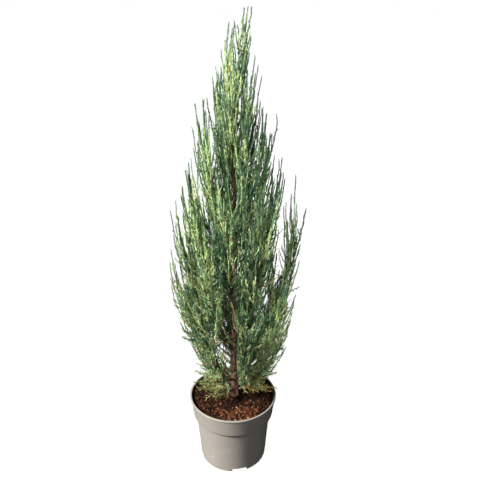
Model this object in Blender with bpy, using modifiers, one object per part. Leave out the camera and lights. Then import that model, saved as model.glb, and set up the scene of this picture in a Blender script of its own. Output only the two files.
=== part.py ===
"""A young rocky mountain juniper of the narrow, upright kind, in its nursery pot.

Metres, +Z up. The origin is the centre of the pot's flat underside and -Y is the front. Bearings run round the
trunk from +X towards +Y, in degrees.
Run it with: blender --background --python part.py
"""

import math
import random

import bmesh
import bpy
import numpy as np
from mathutils import Quaternion, Vector, noise

# Whole plant
POT_HEIGHT = 0.162
RIM_RADIUS = 0.095
FOOT_RADIUS = 0.0715
SOIL_TOP = POT_HEIGHT - 0.015
PLANT_TOP = 0.985
CLEARANCE = 0.0003  # between solids that touch
UP = Vector((0, 0, 1))

# Pot
POT_SIDES = 36
WALL = 0.0018
FLOOR = 0.003
CHANNEL_HEIGHT = 0.009  # the drainage channel under the pot, between its middle pad and its foot ring
PAD_RADIUS = 0.024
CHANNEL_SLOPE = 0.002
FOOT_RING = 0.0085
FOOT_CURVE = (0.0013, 0.004)  # out and up
LIP = 0.004
COLLAR_TOP = 0.093
COLLAR_FOOT = (0.0875, 0.115)  # radius, height
BODY_TOP = (0.081, 0.111)
POCKETS = 4
POCKET_SIZE = (0.024, 0.033, 0.0085)  # deep, wide, high
FIRST_POCKET = -78
DRAINS = 6
DRAIN_RADIUS = 0.0045
DRAIN_RING = 0.040

# Potting mix
SOIL_RINGS = (0.030, 0.052, 0.071)
SOIL_RELIEF = 0.0035
SOIL_GRAIN = 0.022
TRUNK_FOOT_CLEAR = 0.030  # the mix is level this far round the trunk

# Trunk: the line that it follows as (height, x, y), and its thickness
TRUNK_TOP = 0.905
TRUNK_LINE = (
    (SOIL_TOP + CLEARANCE, 0.003, 0.012),
    (0.24, 0.006, 0.009),
    (0.40, 0.004, 0.004),
    (0.56, 0.006, 0.001),
    (0.72, 0.004, 0.000),
    (0.82, 0.011, 0.001),
    (TRUNK_TOP, 0.021, 0.002),
)
TRUNK_RADIUS = 0.0078
TRUNK_TIP_RADIUS = 0.0013
FLARE = 0.0048
FLARE_HEIGHT = 0.011
TRUNK_RINGS = 24
TRUNK_CROWDING = 1.6  # draws the rings towards the flare
TRUNK_SIDES = 10

# Crown: its outline as (height, radius) about a middle line that leans over only near the top
CROWN_OUTLINE = ((0.16, 0.092), (0.26, 0.108), (0.36, 0.128), (0.48, 0.136), (0.60, 0.128), (0.70, 0.100),
                 (0.80, 0.072), (0.90, 0.041), (PLANT_TOP, 0.010))
CROWN_MIDDLE = (0.006, 0.002)
CROWN_LEANS_FROM = 0.88
LEADER_TIP = (0.029, 0.003)

# Tiers of plumes up the trunk. feet: the heights between which they leave it. tips: the middle height of their
# tips. out: how far the tips stand from the middle of the crown. swing: how far out and up they first lean.
# bearing: that of the first. bough: the radius of the bough that carries each, or 0 where the plume's own stem
# meets the trunk. twigs: how many on each. fork: the angle at which they leave the stem, and how far their
# sprays turn upright again, from 0 to 1. spray: the length and half width of the sprays.
TIERS = {
    "skirt": dict(count=6, feet=(0.180, 0.216), tips=0.462, out=0.104, swing=(0.068, 0.030), bearing=170,
                  bough=0.0034, stem=0.0024, twigs=5, fork=(36, 0.50), spray=(0.098, 0.0165)),
    "lower": dict(count=6, feet=(0.258, 0.306), tips=0.600, out=0.104, swing=(0.060, 0.050), bearing=349,
                  bough=0.0030, stem=0.0023, twigs=5, fork=(32, 0.60), spray=(0.106, 0.0165)),
    "middle": dict(count=5, feet=(0.366, 0.412), tips=0.690, out=0.084, swing=(0.045, 0.055), bearing=51,
                   bough=0.0025, stem=0.0020, twigs=4, fork=(32, 0.70), spray=(0.110, 0.0160)),
    "upper": dict(count=5, feet=(0.475, 0.540), tips=0.790, out=0.058, swing=(0.030, 0.055), bearing=284,
                  bough=0.0, stem=0.0018, twigs=4, fork=(30, 0.70), spray=(0.104, 0.0150)),
    "crown": dict(count=5, feet=(0.605, 0.695), tips=0.880, out=0.033, swing=(0.018, 0.045), bearing=188,
                  bough=0.0, stem=0.0014, twigs=3, fork=(26, 0.70), spray=(0.084, 0.0115)),
    "top": dict(count=3, feet=(0.775, 0.820), tips=0.938, out=0.019, swing=(0.008, 0.030), bearing=196,
                bough=0.0, stem=0.0011, twigs=1, fork=(22, 0.70), spray=(0.056, 0.0075)),
}
TIP_VARIES = 0.025
BEARING_VARIES = 16
SHOULDER = (0.55, 0.90)  # where a plume straightens up, from its knee to its tip, and how far out it then is
BOUGH_SHARE = 0.27  # of the whole limb, from the trunk
STANDING_OUT = {  # plumes whose tips stand out of the crown: how far out, and how high
    "plume_lower_1": (0.137, 0.613), "plume_lower_4": (0.104, 0.589),
    "plume_middle_1": (0.106, 0.725), "plume_middle_3": (0.093, 0.690),
    "plume_upper_1": (0.057, 0.806), "plume_upper_4": (0.095, 0.800),
    "plume_crown_1": (0.033, 0.861), "plume_top_1": (0.027, 0.960),
}
THICK_BOUGHS = {"plume_skirt_1": 0.0047}
# Sprigs round the trunk's foot, as (bearing, length, slope)
SPRIGS = ((346, 0.094, 34), (188, 0.108, 36), (238, 0.084, 44), (34, 0.108, 40), (118, 0.092, 38))
SPRIG = dict(foot=0.160, arch=0.004, stem=0.0017, twigs=3, fork=(40, 0.2), spray=(0.054, 0.0105))
LEADER = dict(twigs=2, fork=(16, 0.5), spray=(0.042, 0.0055))

# Twigs and sprays
GOLDEN_ANGLE = 137.5
TWIG_LENGTH = 0.42  # of the spray that it carries
TWIG_RADIUS = (0.0015, 0.0010)
SPRAY_THICKNESS = 0.0012
SPRAY_ROOT = 0.0009  # its half width there
SPRAY_TEETH = ((0.08, 1.00), (0.24, 0.92), (0.42, 0.75))  # where each starts and its reach, by turns
TOOTH_LENGTH = 0.25
SPRAY_CORE = 0.42  # of the half width, between the teeth
SPRAY_SUNK = 0.004  # into the twig's end
SHORTER = (1.0, 0.82, 0.66)  # a spray that has no room is tried shorter, then left out
LINE_POINTS = 25
BOUGH_POINTS = 4
STEM_POINTS = 5
TRIED_TURNS = range(0, 360, 45)  # a twig that has no room is tried at these turns round its stem
TIP_SPRAY = (0.8, 0.65)  # the length and width of the one on a plume's own tip, of the others'
TWIG_FREE = (0.010, 0.020)  # the stem's length with no twig, beyond a bough and beyond the trunk's middle
SCRAP_FACES = 9  # a union that leaves fewer faces than this loose is whole
SPACE_MARGIN = 0.0012
LIMB_MARGIN = 0.0014

COLOURS = {
    "pot": (0.36, 0.335, 0.295), "mix": (0.045, 0.022, 0.014), "bark": (0.085, 0.045, 0.030),
    "needles": (0.085, 0.165, 0.095), "bright": (0.165, 0.25, 0.115), "dry": (0.20, 0.17, 0.06),
}
ROUGHNESS = {"pot": 0.5, "mix": 0.95, "bark": 0.9, "needles": 0.6, "bright": 0.6, "dry": 0.7}


def lerp(a, b, t):
    return a + (b - a) * t


def trunk_point(height):
    """The middle of the trunk at a height, on a smooth line through TRUNK_LINE."""
    for low, high in zip(TRUNK_LINE, TRUNK_LINE[1:]):
        if height <= high[0] or high is TRUNK_LINE[-1]:
            t = (height - low[0]) / (high[0] - low[0])
            ease = t * t * (3 - 2 * t) if 0 < t < 1 else t
            return Vector((lerp(low[1], high[1], ease), lerp(low[2], high[2], ease), height))


def crown_middle(height):
    """The middle of the crown at a height."""
    lean = max(0.0, (height - CROWN_LEANS_FROM) / (PLANT_TOP - CROWN_LEANS_FROM))
    x, y = (lerp(low, top, lean) for low, top in zip(CROWN_MIDDLE, LEADER_TIP))
    return Vector((x, y, height))


def trunk_radius(height):
    up = min(1.0, (height - SOIL_TOP) / (TRUNK_TOP - SOIL_TOP))
    flare = FLARE * math.exp(-(height - SOIL_TOP) / FLARE_HEIGHT)
    return lerp(TRUNK_RADIUS, TRUNK_TIP_RADIUS, up ** 0.9) + flare


def outward(bearing):
    return Vector((math.cos(math.radians(bearing)), math.sin(math.radians(bearing)), 0))


def bezier(a, b, c, d, count):
    """Points along a curve that leaves a towards b and reaches d from c."""
    shares = [i / (count - 1) for i in range(count)]
    return [a * (1 - t) ** 3 + b * 3 * (1 - t) ** 2 * t + c * 3 * (1 - t) * t ** 2 + d * t ** 3 for t in shares]


class Limb:
    """A bough with the plume on it, or a plume alone: one line from the trunk's middle to the plume's tip."""

    def __init__(self, name, line, bough, stem, size, colour):
        self.name, self.line, self.bough, self.stem, self.colour = name, line, bough, stem, colour
        self.twigs, self.fork, self.spray = size["twigs"], size["fork"], size["spray"]
        steps = [(b - a).length for a, b in zip(line, line[1:])]
        self.length = sum(steps)
        self.reach = [0.0]
        for step in steps:
            self.reach.append(self.reach[-1] + step)
        self.stem_start = BOUGH_SHARE * self.length if bough else 0.0
        self.stem_end = self.length - TIP_SPRAY[0] * self.spray[0]

    def at(self, distance):
        """The point and the direction at a distance along the line."""
        for i in range(1, len(self.line)):
            if distance <= self.reach[i] or i == len(self.line) - 1:
                a, b = self.line[i - 1], self.line[i]
                t = (distance - self.reach[i - 1]) / (self.reach[i] - self.reach[i - 1])
                return a.lerp(b, t), (b - a).normalized()

    def stretch(self, start, end, count):
        return [self.at(lerp(start, end, i / (count - 1)))[0] for i in range(count)]


def plan_limbs(dice):
    """Every limb's line, tier by tier, then the leader and the sprigs round the foot."""
    limbs = []
    for tier, size in TIERS.items():
        for i in range(size["count"]):
            name = f"plume_{tier}_{i + 1}"
            share = (i * 2 % size["count"]) / size["count"]
            foot = trunk_point(lerp(*size["feet"], share))
            bearing = size["bearing"] + 360 * i / size["count"] + dice.uniform(-1, 1) * BEARING_VARIES
            tip_height = size["tips"] + dice.uniform(-1, 1) * TIP_VARIES
            out = size["out"] * dice.uniform(0.95, 1.05)
            out, tip_height = STANDING_OUT.get(name, (out, tip_height))
            way = outward(bearing)
            tip = crown_middle(tip_height) + way * out
            swing, lift = size["swing"]
            knee = foot + way * swing + UP * lift
            shoulder = crown_middle(lerp(knee.z, tip_height, SHOULDER[0])) + way * out * SHOULDER[1]
            line = bezier(foot, knee, shoulder, tip, LINE_POINTS)
            thick = THICK_BOUGHS.get(name, size["bough"])
            colour = "bright" if tier in ("crown", "top") else "needles"
            limbs.append(Limb(name, line, thick, size["stem"], size, colour))
    trunk_tip = trunk_point(TRUNK_TOP) + UP * CLEARANCE
    leader_tip = Vector((*LEADER_TIP, PLANT_TOP))
    halfway = trunk_tip.lerp(leader_tip, 0.5)
    line = bezier(trunk_tip, halfway, halfway, leader_tip, LINE_POINTS)
    limbs.append(Limb("leader", line, 0.0, TRUNK_TIP_RADIUS, LEADER, "bright"))
    for i, (bearing, length, slope) in enumerate(SPRIGS):
        foot = trunk_point(SPRIG["foot"])
        way = outward(bearing)
        rise = math.radians(slope)
        tip = foot + way * length * math.cos(rise) + UP * length * math.sin(rise)
        bend = foot.lerp(tip, 0.5) + UP * SPRIG["arch"]
        line = bezier(foot, bend, bend, tip, LINE_POINTS)
        colour = "dry" if i == 0 else "needles"
        limbs.append(Limb(f"sprig_{i + 1}", line, 0.0, SPRIG["stem"], SPRIG, colour))
    return limbs


class Space:
    """Tells whether a twig or a spray keeps to its own plume's space and clear of every limb."""

    def __init__(self, limbs):
        self.names = [limb.name for limb in limbs]
        self.lines = [np.array(limb.line) for limb in limbs]
        self.boughs = [(limb.bough, np.array(limb.stretch(0, limb.stem_start, BOUGH_POINTS)))
                       for limb in limbs if limb.bough]
        heights = np.linspace(SOIL_TOP, TRUNK_TOP, TRUNK_RINGS)
        self.trunk = np.array([trunk_point(height) for height in heights])
        self.trunk_radii = np.array([trunk_radius(height) for height in heights])

    @staticmethod
    def distances(points, line):
        """From each point to the nearest place on a line, and how far along the line that is, by segments."""
        a, b = line[:-1], line[1:]
        ab = b - a
        t = np.einsum("psk,sk->ps", points[:, None] - a, ab) / np.einsum("sk,sk->s", ab, ab)
        t = np.clip(t, 0, 1)
        gaps = np.linalg.norm(points[:, None] - a - t[..., None] * ab, axis=2)
        nearest = gaps.argmin(axis=1)
        rows = np.arange(len(points))
        return gaps[rows, nearest], nearest + t[rows, nearest]

    def is_free(self, name, points):
        points = np.array(points)
        own, _ = self.distances(points, self.lines[self.names.index(name)])
        for other, line in zip(self.names, self.lines):
            if other != name and (own + 2 * SPACE_MARGIN > self.distances(points, line)[0]).any():
                return False
        for radius, line in self.boughs:
            if (self.distances(points, line)[0] < radius + LIMB_MARGIN).any():
                return False
        gap, along = self.distances(points, self.trunk)
        radius = np.interp(along, np.arange(TRUNK_RINGS), self.trunk_radii)
        if (gap < radius + LIMB_MARGIN).any():
            return False
        middle = np.array([crown_middle(height)[:2] for height in points[:, 2]])
        from_middle = np.hypot(*(points[:, :2] - middle).T)
        if (from_middle > np.interp(points[:, 2], *np.array(CROWN_OUTLINE).T)).any():
            return False
        from_middle = np.hypot(points[:, 0], points[:, 1])
        ground = np.where(from_middle > BODY_TOP[0], POT_HEIGHT, SOIL_TOP + SOIL_RELIEF)
        return bool((points[:, 2] > ground + LIMB_MARGIN).all() and (points[:, 2] < PLANT_TOP).all())


def evaluated_mesh(thing):
    """The mesh that an object's modifiers or curve settings make, welded, as a new mesh."""
    bpy.context.view_layer.update()
    mesh = bpy.data.meshes.new_from_object(thing.evaluated_get(bpy.context.evaluated_depsgraph_get()))
    shape = bmesh.new()
    shape.from_mesh(mesh)
    bmesh.ops.remove_doubles(shape, verts=shape.verts, dist=1e-6)
    bmesh.ops.recalc_face_normals(shape, faces=shape.faces)
    shape.to_mesh(mesh)
    shape.free()
    return mesh


def add_object(name, data, collection):
    thing = bpy.data.objects.new(name, data)
    collection.objects.link(thing)
    return thing


def make_limb(points, radii, sides, profile=None):
    """A tapering limb as a mesh, from a curve with a bevel and filled caps. Three sides come from a profile."""
    curve = bpy.data.curves.new("limb", "CURVE")
    curve.dimensions = "3D"
    curve.use_fill_caps = True
    if profile:
        curve.bevel_mode = "OBJECT"
        curve.bevel_object = profile
    else:
        curve.bevel_depth = 1.0
        curve.bevel_resolution = (sides - 4) // 2
    spline = curve.splines.new("POLY")
    spline.points.add(len(points) - 1)
    for knot, point, radius in zip(spline.points, points, radii):
        knot.co = (*point, 1)
        knot.radius = radius
    holder = add_object("limb", curve, bpy.context.scene.collection)
    mesh = evaluated_mesh(holder)
    bpy.data.objects.remove(holder)
    bpy.data.curves.remove(curve)
    return mesh


def triangle_profile(guides):
    """The three-sided section of the twigs, one metre in radius, scaled by each twig's own."""
    curve = bpy.data.curves.new("twig_section", "CURVE")
    curve.dimensions = "2D"
    spline = curve.splines.new("POLY")
    spline.points.add(2)
    for i, knot in enumerate(spline.points):
        knot.co = (math.cos(math.tau * i / 3), math.sin(math.tau * i / 3), 0, 1)
    spline.use_cyclic_u = True
    return add_object("twig_section", curve, guides)


def spray_outline():
    """A spray's outline as (along, across) shares: forward teeth on both sides by turns, then a thin tip."""
    right, left = [(0.0, 0.0)], [(0.0, 0.0)]
    for i, (start, reach) in enumerate(SPRAY_TEETH):
        side = right if i % 2 == 0 else left
        side += [(start + TOOTH_LENGTH, reach), (start + TOOTH_LENGTH * 0.8, SPRAY_CORE * reach)]
    return right + [(1.0, 0.0)] + [(along, -across) for along, across in reversed(left)]


def spray_points(root, along, across, length, width):
    """The outline laid along a spray from its root."""
    points = []
    for share, side in spray_outline():
        points.append(root + along * length * share + across * width * side)
    points[0] = root + across * SPRAY_ROOT
    points[-1] = root - across * SPRAY_ROOT
    return points


def make_spray(points, normal):
    """A flat spray pushed out to its thickness."""
    shape = bmesh.new()
    face = shape.faces.new([shape.verts.new(point - normal * SPRAY_THICKNESS / 2) for point in points])
    pushed = bmesh.ops.extrude_face_region(shape, geom=[face])["geom"]
    far_side = [element for element in pushed if isinstance(element, bmesh.types.BMVert)]
    bmesh.ops.translate(shape, verts=far_side, vec=normal * SPRAY_THICKNESS)
    bmesh.ops.recalc_face_normals(shape, faces=shape.faces)
    mesh = bpy.data.meshes.new("spray")
    shape.to_mesh(mesh)
    shape.free()
    return mesh


def across_from(along, turn):
    """A direction square to another, turned round it by an angle in degrees."""
    return Quaternion(along, math.radians(turn)) @ along.cross(Vector((0.2, 1.0, 0.3))).normalized()


def grow_spray(limb, space, root, along, turn, length, width, twig_points=()):
    """The points and the normal of the longest spray that has room, or None."""
    across = across_from(along, turn)
    for share in SHORTER:
        points = spray_points(root, along, across, length * share, width * share)
        edges = [a.lerp(b, 0.5) for a, b in zip(points, points[1:])]
        if space.is_free(limb.name, [*points[1:-1], *edges[1:-1], *twig_points]):
            return points, along.cross(across).normalized()
    return None


def grow_plume(limb, space, dice, profile):
    """The meshes of a plume: its stem, a spray on its tip, and twigs round it with a spray on each."""
    stem_points = limb.stretch(limb.stem_start + (CLEARANCE if limb.bough else 0), limb.stem_end, STEM_POINTS)
    stem_radii = [lerp(limb.stem, TWIG_RADIUS[0], i / (STEM_POINTS - 1)) for i in range(STEM_POINTS)]
    meshes = [make_limb(stem_points, stem_radii, 4)]
    length, width = limb.spray
    root, _ = limb.at(limb.stem_end - SPRAY_SUNK)
    end, _ = limb.at(limb.length)
    along = (end - root).normalized()
    across = across_from(along, dice.uniform(0, 360))
    points = spray_points(root, along, across, (end - root).length, width * TIP_SPRAY[1])
    meshes.append(make_spray(points, along.cross(across)))

    first_twig = limb.stem_start + (TWIG_FREE[0] if limb.bough else TWIG_FREE[1])
    turn = dice.uniform(0, 360)
    angle, upright = limb.fork
    for i in range(limb.twigs):
        share = (i + 0.3) / limb.twigs
        foot, along = limb.at(lerp(first_twig, limb.stem_end, share))
        size = dice.uniform(0.92, 1.08) * lerp(1.0, 0.85, share)
        turn += GOLDEN_ANGLE
        for turned_on in TRIED_TURNS:
            side = across_from(along, turn + turned_on)
            leaving = along * math.cos(math.radians(angle)) + side * math.sin(math.radians(angle))
            rising = leaving.lerp(UP, upright).normalized()
            twig_end = foot + leaving * length * TWIG_LENGTH * size
            on_twig = [foot.lerp(twig_end, step) for step in (0.4, 0.7, 1.0)]
            root = twig_end - rising * SPRAY_SUNK
            grown = grow_spray(limb, space, root, rising, turn, length * size, width * size, on_twig)
            if grown:
                meshes += [make_limb([foot, twig_end], TWIG_RADIUS, 3, profile), make_spray(*grown)]
                break
    return meshes


def join_meshes(meshes, trunk_cutter):
    """One closed mesh: the first less the trunk's space, and all the others joined to it."""
    scene = bpy.context.scene.collection
    stem = add_object("stem", meshes[0], scene)
    cut = stem.modifiers.new("clear_of_trunk", "BOOLEAN")
    cut.operation, cut.object, cut.solver = "DIFFERENCE", trunk_cutter, "EXACT"
    stem_mesh = evaluated_mesh(stem)
    stem.modifiers.clear()
    stem.data = stem_mesh
    if len(meshes) > 1:
        pieces = bpy.data.collections.new("pieces")
        scene.children.link(pieces)
        for mesh in meshes[1:]:
            add_object("piece", mesh, pieces)
        union = stem.modifiers.new("union", "BOOLEAN")
        union.operation, union.operand_type, union.collection = "UNION", "COLLECTION", pieces
        for solver in ("EXACT", "MANIFOLD"):
            union.solver = solver
            stem_mesh = evaluated_mesh(stem)
            if is_whole(stem_mesh):
                break
        for piece in list(pieces.objects):
            bpy.data.objects.remove(piece)
        bpy.data.collections.remove(pieces)
    bpy.data.objects.remove(stem)
    return stem_mesh


def bodies_of(shape):
    """The sets of faces of a bmesh that plain edges join, largest last."""
    left, bodies = set(shape.faces), []
    while left:
        front = [left.pop()]
        body = set(front)
        while front:
            for edge in front.pop().edges:
                fresh = {face for face in edge.link_faces if face in left and len(edge.link_faces) == 2}
                left -= fresh
                body |= fresh
                front += fresh
        bodies.append(body)
    return sorted(bodies, key=len)


def is_whole(mesh):
    """Whether a mesh is one body, apart from scraps, and every edge of it has two faces."""
    shape = bmesh.new()
    shape.from_mesh(mesh)
    bodies = bodies_of(shape)
    scraps = [face for body in bodies[:-1] for face in body]
    bmesh.ops.delete(shape, geom=scraps, context="FACES")
    whole = len(scraps) < SCRAP_FACES and all(len(edge.link_faces) == 2 for edge in shape.edges)
    shape.free()
    return whole


def largest_body(mesh):
    """The mesh with any loose scrap dropped, in triangles."""
    shape = bmesh.new()
    shape.from_mesh(mesh)
    scraps = [face for body in bodies_of(shape)[:-1] for face in body]
    bmesh.ops.delete(shape, geom=scraps, context="FACES")
    bmesh.ops.triangulate(shape, faces=shape.faces)
    shape.to_mesh(mesh)
    shape.free()
    return mesh


def material(name):
    """A Principled BSDF material from COLOURS and ROUGHNESS."""
    if name in bpy.data.materials:
        return bpy.data.materials[name]
    made = bpy.data.materials.new(name)
    made.use_nodes = True
    shader = made.node_tree.nodes["Principled BSDF"]
    shader.inputs["Base Color"].default_value = (*COLOURS[name], 1)
    shader.inputs["Roughness"].default_value = ROUGHNESS[name]
    shader.inputs["Metallic"].default_value = 0.0
    return made


def turned(name, profile, collection):
    """A turned solid: its profile runs from the axis up the inside, down the outside and back to the axis."""
    mesh = bpy.data.meshes.new(name)
    mesh.from_pydata([(radius, 0, height) for radius, height in profile],
                     [(i, i + 1) for i in range(len(profile) - 1)], [])
    thing = add_object(name, mesh, collection)
    screw = thing.modifiers.new("turn", "SCREW")
    screw.axis, screw.angle = "Z", math.tau
    screw.steps = screw.render_steps = POT_SIDES
    screw.use_merge_vertices, screw.merge_threshold = True, 1e-5
    screw.use_normal_calculate = True
    return thing


def inner_wall():
    """The outline of the pot's inside as (radius, height), from the floor up to the rim."""
    return [(FOOT_RADIUS - WALL, CHANNEL_HEIGHT + FLOOR), (BODY_TOP[0] - WALL, BODY_TOP[1] + WALL),
            (COLLAR_FOOT[0] - WALL, COLLAR_FOOT[1] + WALL), (COLLAR_TOP - WALL, POT_HEIGHT)]


def make_pot(parts, cutters):
    profile = [
        (0, FLOOR), (PAD_RADIUS - FLOOR, FLOOR), (PAD_RADIUS - CHANNEL_SLOPE, CHANNEL_HEIGHT + FLOOR),
        *inner_wall(),
        (RIM_RADIUS, POT_HEIGHT), (RIM_RADIUS, POT_HEIGHT - LIP), (COLLAR_TOP, POT_HEIGHT - LIP),
        COLLAR_FOOT, BODY_TOP, (FOOT_RADIUS + FOOT_CURVE[0], FOOT_CURVE[1]), (FOOT_RADIUS, 0),
        (FOOT_RADIUS - FOOT_RING, 0), (FOOT_RADIUS - FOOT_RING, CHANNEL_HEIGHT),
        (PAD_RADIUS + CHANNEL_SLOPE, CHANNEL_HEIGHT), (PAD_RADIUS, 0), (0, 0),
    ]
    pot = turned("pot", profile, parts)
    weld = pot.modifiers.new("close_the_turn", "WELD")
    weld.merge_threshold = 1e-5
    for i in range(POCKETS):
        bpy.ops.mesh.primitive_cube_add(size=1)
        pocket = bpy.context.object
        pocket.name = f"pocket_{i + 1}"
        deep, wide, high = POCKET_SIZE
        pocket.scale = (deep, wide, high * 2)
        pocket.rotation_euler.z = math.radians(FIRST_POCKET + 360 * i / POCKETS)
        pocket.location = outward(FIRST_POCKET + 360 * i / POCKETS) * FOOT_RADIUS
        move_to(pocket, cutters)
    for i in range(DRAINS):
        bpy.ops.mesh.primitive_cylinder_add(vertices=8, radius=DRAIN_RADIUS, depth=4 * FLOOR)
        drain = bpy.context.object
        drain.name = f"drain_{i + 1}"
        drain.location = outward(360 * i / DRAINS) * DRAIN_RING + UP * (CHANNEL_HEIGHT + FLOOR / 2)
        move_to(drain, cutters)
    cut = pot.modifiers.new("pockets_and_drains", "BOOLEAN")
    cut.operation, cut.operand_type, cut.collection, cut.solver = "DIFFERENCE", "COLLECTION", cutters, "EXACT"
    pot.data.materials.append(material("pot"))
    return pot


def move_to(thing, collection):
    """Puts an object in one collection only, as a cutter."""
    for holder in list(thing.users_collection):
        holder.objects.unlink(thing)
    collection.objects.link(thing)
    thing.hide_render = True
    thing.display_type = "WIRE"


def make_mix(parts):
    """The potting mix, clear of the pot's inside all round, with an uneven top that is level at the trunk."""
    wall = [(radius - CLEARANCE * 1.5, height + CLEARANCE) for radius, height in inner_wall()]
    (low_radius, low), (rim_radius, rim) = wall[-2:]
    wall[-1] = (lerp(low_radius, rim_radius, (SOIL_TOP - low) / (rim - low)), SOIL_TOP)
    pad = PAD_RADIUS - FLOOR - CLEARANCE
    profile = [(0, SOIL_TOP), *((radius, SOIL_TOP) for radius in SOIL_RINGS), *reversed(wall)]
    profile += [(pad + FLOOR - CHANNEL_SLOPE, wall[0][1]), (pad, FLOOR + CLEARANCE), (0, FLOOR + CLEARANCE)]
    holder = turned("mix_turned", profile, parts)
    mesh = evaluated_mesh(holder)
    bpy.data.objects.remove(holder)
    trunk_foot = trunk_point(TRUNK_LINE[0][0])
    for vertex in mesh.vertices:
        place = vertex.co
        if place.z > SOIL_TOP - 1e-5:
            clear = math.hypot(place.x - trunk_foot.x, place.y - trunk_foot.y) / TRUNK_FOOT_CLEAR
            height = noise.noise(Vector((place.x, place.y, SOIL_GRAIN)) / SOIL_GRAIN) * SOIL_RELIEF
            place.z += height * min(1.0, max(0.0, clear - 1))
    mix = add_object("potting_mix", mesh, parts)
    mix.data.materials.append(material("mix"))
    return mix


def make_trunk(parts, guides):
    """The trunk, and the slightly thicker copy of it that clears the feet of the boughs."""
    base = TRUNK_LINE[0][0]
    heights = [lerp(base, TRUNK_TOP, (i / (TRUNK_RINGS - 1)) ** TRUNK_CROWDING) for i in range(TRUNK_RINGS)]
    points = [trunk_point(height) for height in heights]
    radii = [trunk_radius(height) for height in heights]
    trunk = add_object("trunk", make_limb(points, radii, TRUNK_SIDES), parts)
    for vertex in trunk.data.vertices:
        if vertex.co.z < (heights[0] + heights[1]) / 2:
            vertex.co.z = base
    trunk.data.materials.append(material("bark"))
    wider = [radius + CLEARANCE * 1.4 for radius in radii]
    line = [points[0] - UP * FLARE_HEIGHT, *points[1:-1], points[-1] + UP * CLEARANCE * 0.9]
    cutter = add_object("trunk_space", make_limb(line, wider, TRUNK_SIDES), guides)
    cutter.hide_render = True
    cutter.display_type = "WIRE"
    return trunk, cutter


def make_bough(limb, parts, trunk_cutter):
    """A tapering limb from the trunk's side to where its plume begins."""
    points = limb.stretch(0, limb.stem_start, BOUGH_POINTS)
    radii = [lerp(limb.bough, limb.stem * 1.1, i / (BOUGH_POINTS - 1)) for i in range(BOUGH_POINTS)]
    mesh = largest_body(join_meshes([make_limb(points, radii, 6)], trunk_cutter))
    bough = add_object(limb.name.replace("plume", "bough"), mesh, parts)
    bough.data.materials.append(material("bark"))
    return bough


def build():
    for thing in list(bpy.data.objects):
        bpy.data.objects.remove(thing)
    scene = bpy.context.scene.collection
    parts = bpy.data.collections.new("rocky_mountain_juniper")
    cutters = bpy.data.collections.new("pot_cutters")
    guides = bpy.data.collections.new("guides")
    for collection in (parts, cutters, guides):
        scene.children.link(collection)

    dice = random.Random(790)
    make_mix(parts)
    _, trunk_cutter = make_trunk(parts, guides)
    profile = triangle_profile(guides)
    limbs = plan_limbs(dice)
    space = Space(limbs)
    for limb in limbs:
        if limb.bough:
            make_bough(limb, parts, trunk_cutter)
        mesh = largest_body(join_meshes(grow_plume(limb, space, dice, profile), trunk_cutter))
        plume = add_object(limb.name, mesh, parts)
        plume.data.materials.append(material(limb.colour))
    bpy.data.objects.remove(profile)
    bpy.data.objects.remove(trunk_cutter)
    make_pot(parts, cutters)
    for thing in parts.objects:
        if thing.name in ("pot", "potting_mix", "trunk") or thing.name.startswith("bough"):
            thing.data.shade_smooth()
            thing.data.set_sharp_from_angle(angle=math.radians(35))


build()
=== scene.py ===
"""The rocky mountain juniper in its nursery pot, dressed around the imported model.

Metres, +Z up. The origin is the centre of the pot's flat underside and -Y is the front. Bearings run round
the trunk from +X towards +Y, in degrees. The limbs follow the same named sizes and the same seeded rule as
the part's source, and the twigs go on from them to finer ones.
"""

import math
import random

import bmesh
import bpy
import numpy as np
from mathutils import Matrix, Vector, noise


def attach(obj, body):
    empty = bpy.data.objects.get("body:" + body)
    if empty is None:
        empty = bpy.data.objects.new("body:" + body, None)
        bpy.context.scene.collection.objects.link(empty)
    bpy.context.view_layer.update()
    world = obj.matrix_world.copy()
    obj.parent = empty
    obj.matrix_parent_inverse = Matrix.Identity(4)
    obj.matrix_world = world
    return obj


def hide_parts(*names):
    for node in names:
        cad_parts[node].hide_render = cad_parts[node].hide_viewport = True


UP = Vector((0, 0, 1))

# Sizes that the part's source has too
POT_HEIGHT = 0.162
RIM_RADIUS = 0.095
FOOT_RADIUS = 0.0715
SOIL_TOP = POT_HEIGHT - 0.015
PLANT_TOP = 0.985
CLEARANCE = 0.0003
WALL = 0.0018
FLOOR = 0.003
CHANNEL_HEIGHT = 0.009
PAD_RADIUS = 0.024
CHANNEL_SLOPE = 0.002
FOOT_RING = 0.0085
LIP = 0.004
COLLAR_TOP = 0.093
COLLAR_FOOT = (0.0875, 0.115)  # radius, height
BODY_TOP = (0.081, 0.111)
POCKETS = 4
POCKET_SIZE = (0.024, 0.033, 0.0085)  # deep, wide, high
FIRST_POCKET = -78
DRAINS = 6
DRAIN_RADIUS = 0.0045
DRAIN_RING = 0.040
TRUNK_TOP = 0.905
TRUNK_LINE = (
    (SOIL_TOP + CLEARANCE, 0.003, 0.012),
    (0.24, 0.006, 0.009),
    (0.40, 0.004, 0.004),
    (0.56, 0.006, 0.001),
    (0.72, 0.004, 0.000),
    (0.82, 0.011, 0.001),
    (TRUNK_TOP, 0.021, 0.002),
)
TRUNK_RADIUS = 0.0078
TRUNK_TIP_RADIUS = 0.0013
FLARE = 0.0048
FLARE_HEIGHT = 0.011
CROWN_OUTLINE = ((0.16, 0.092), (0.26, 0.108), (0.36, 0.128), (0.48, 0.136), (0.60, 0.128), (0.70, 0.100),
                 (0.80, 0.072), (0.90, 0.041), (PLANT_TOP, 0.010))
CROWN_MIDDLE = (0.006, 0.002)
CROWN_LEANS_FROM = 0.88
LEADER_TIP = (0.029, 0.003)
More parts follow.
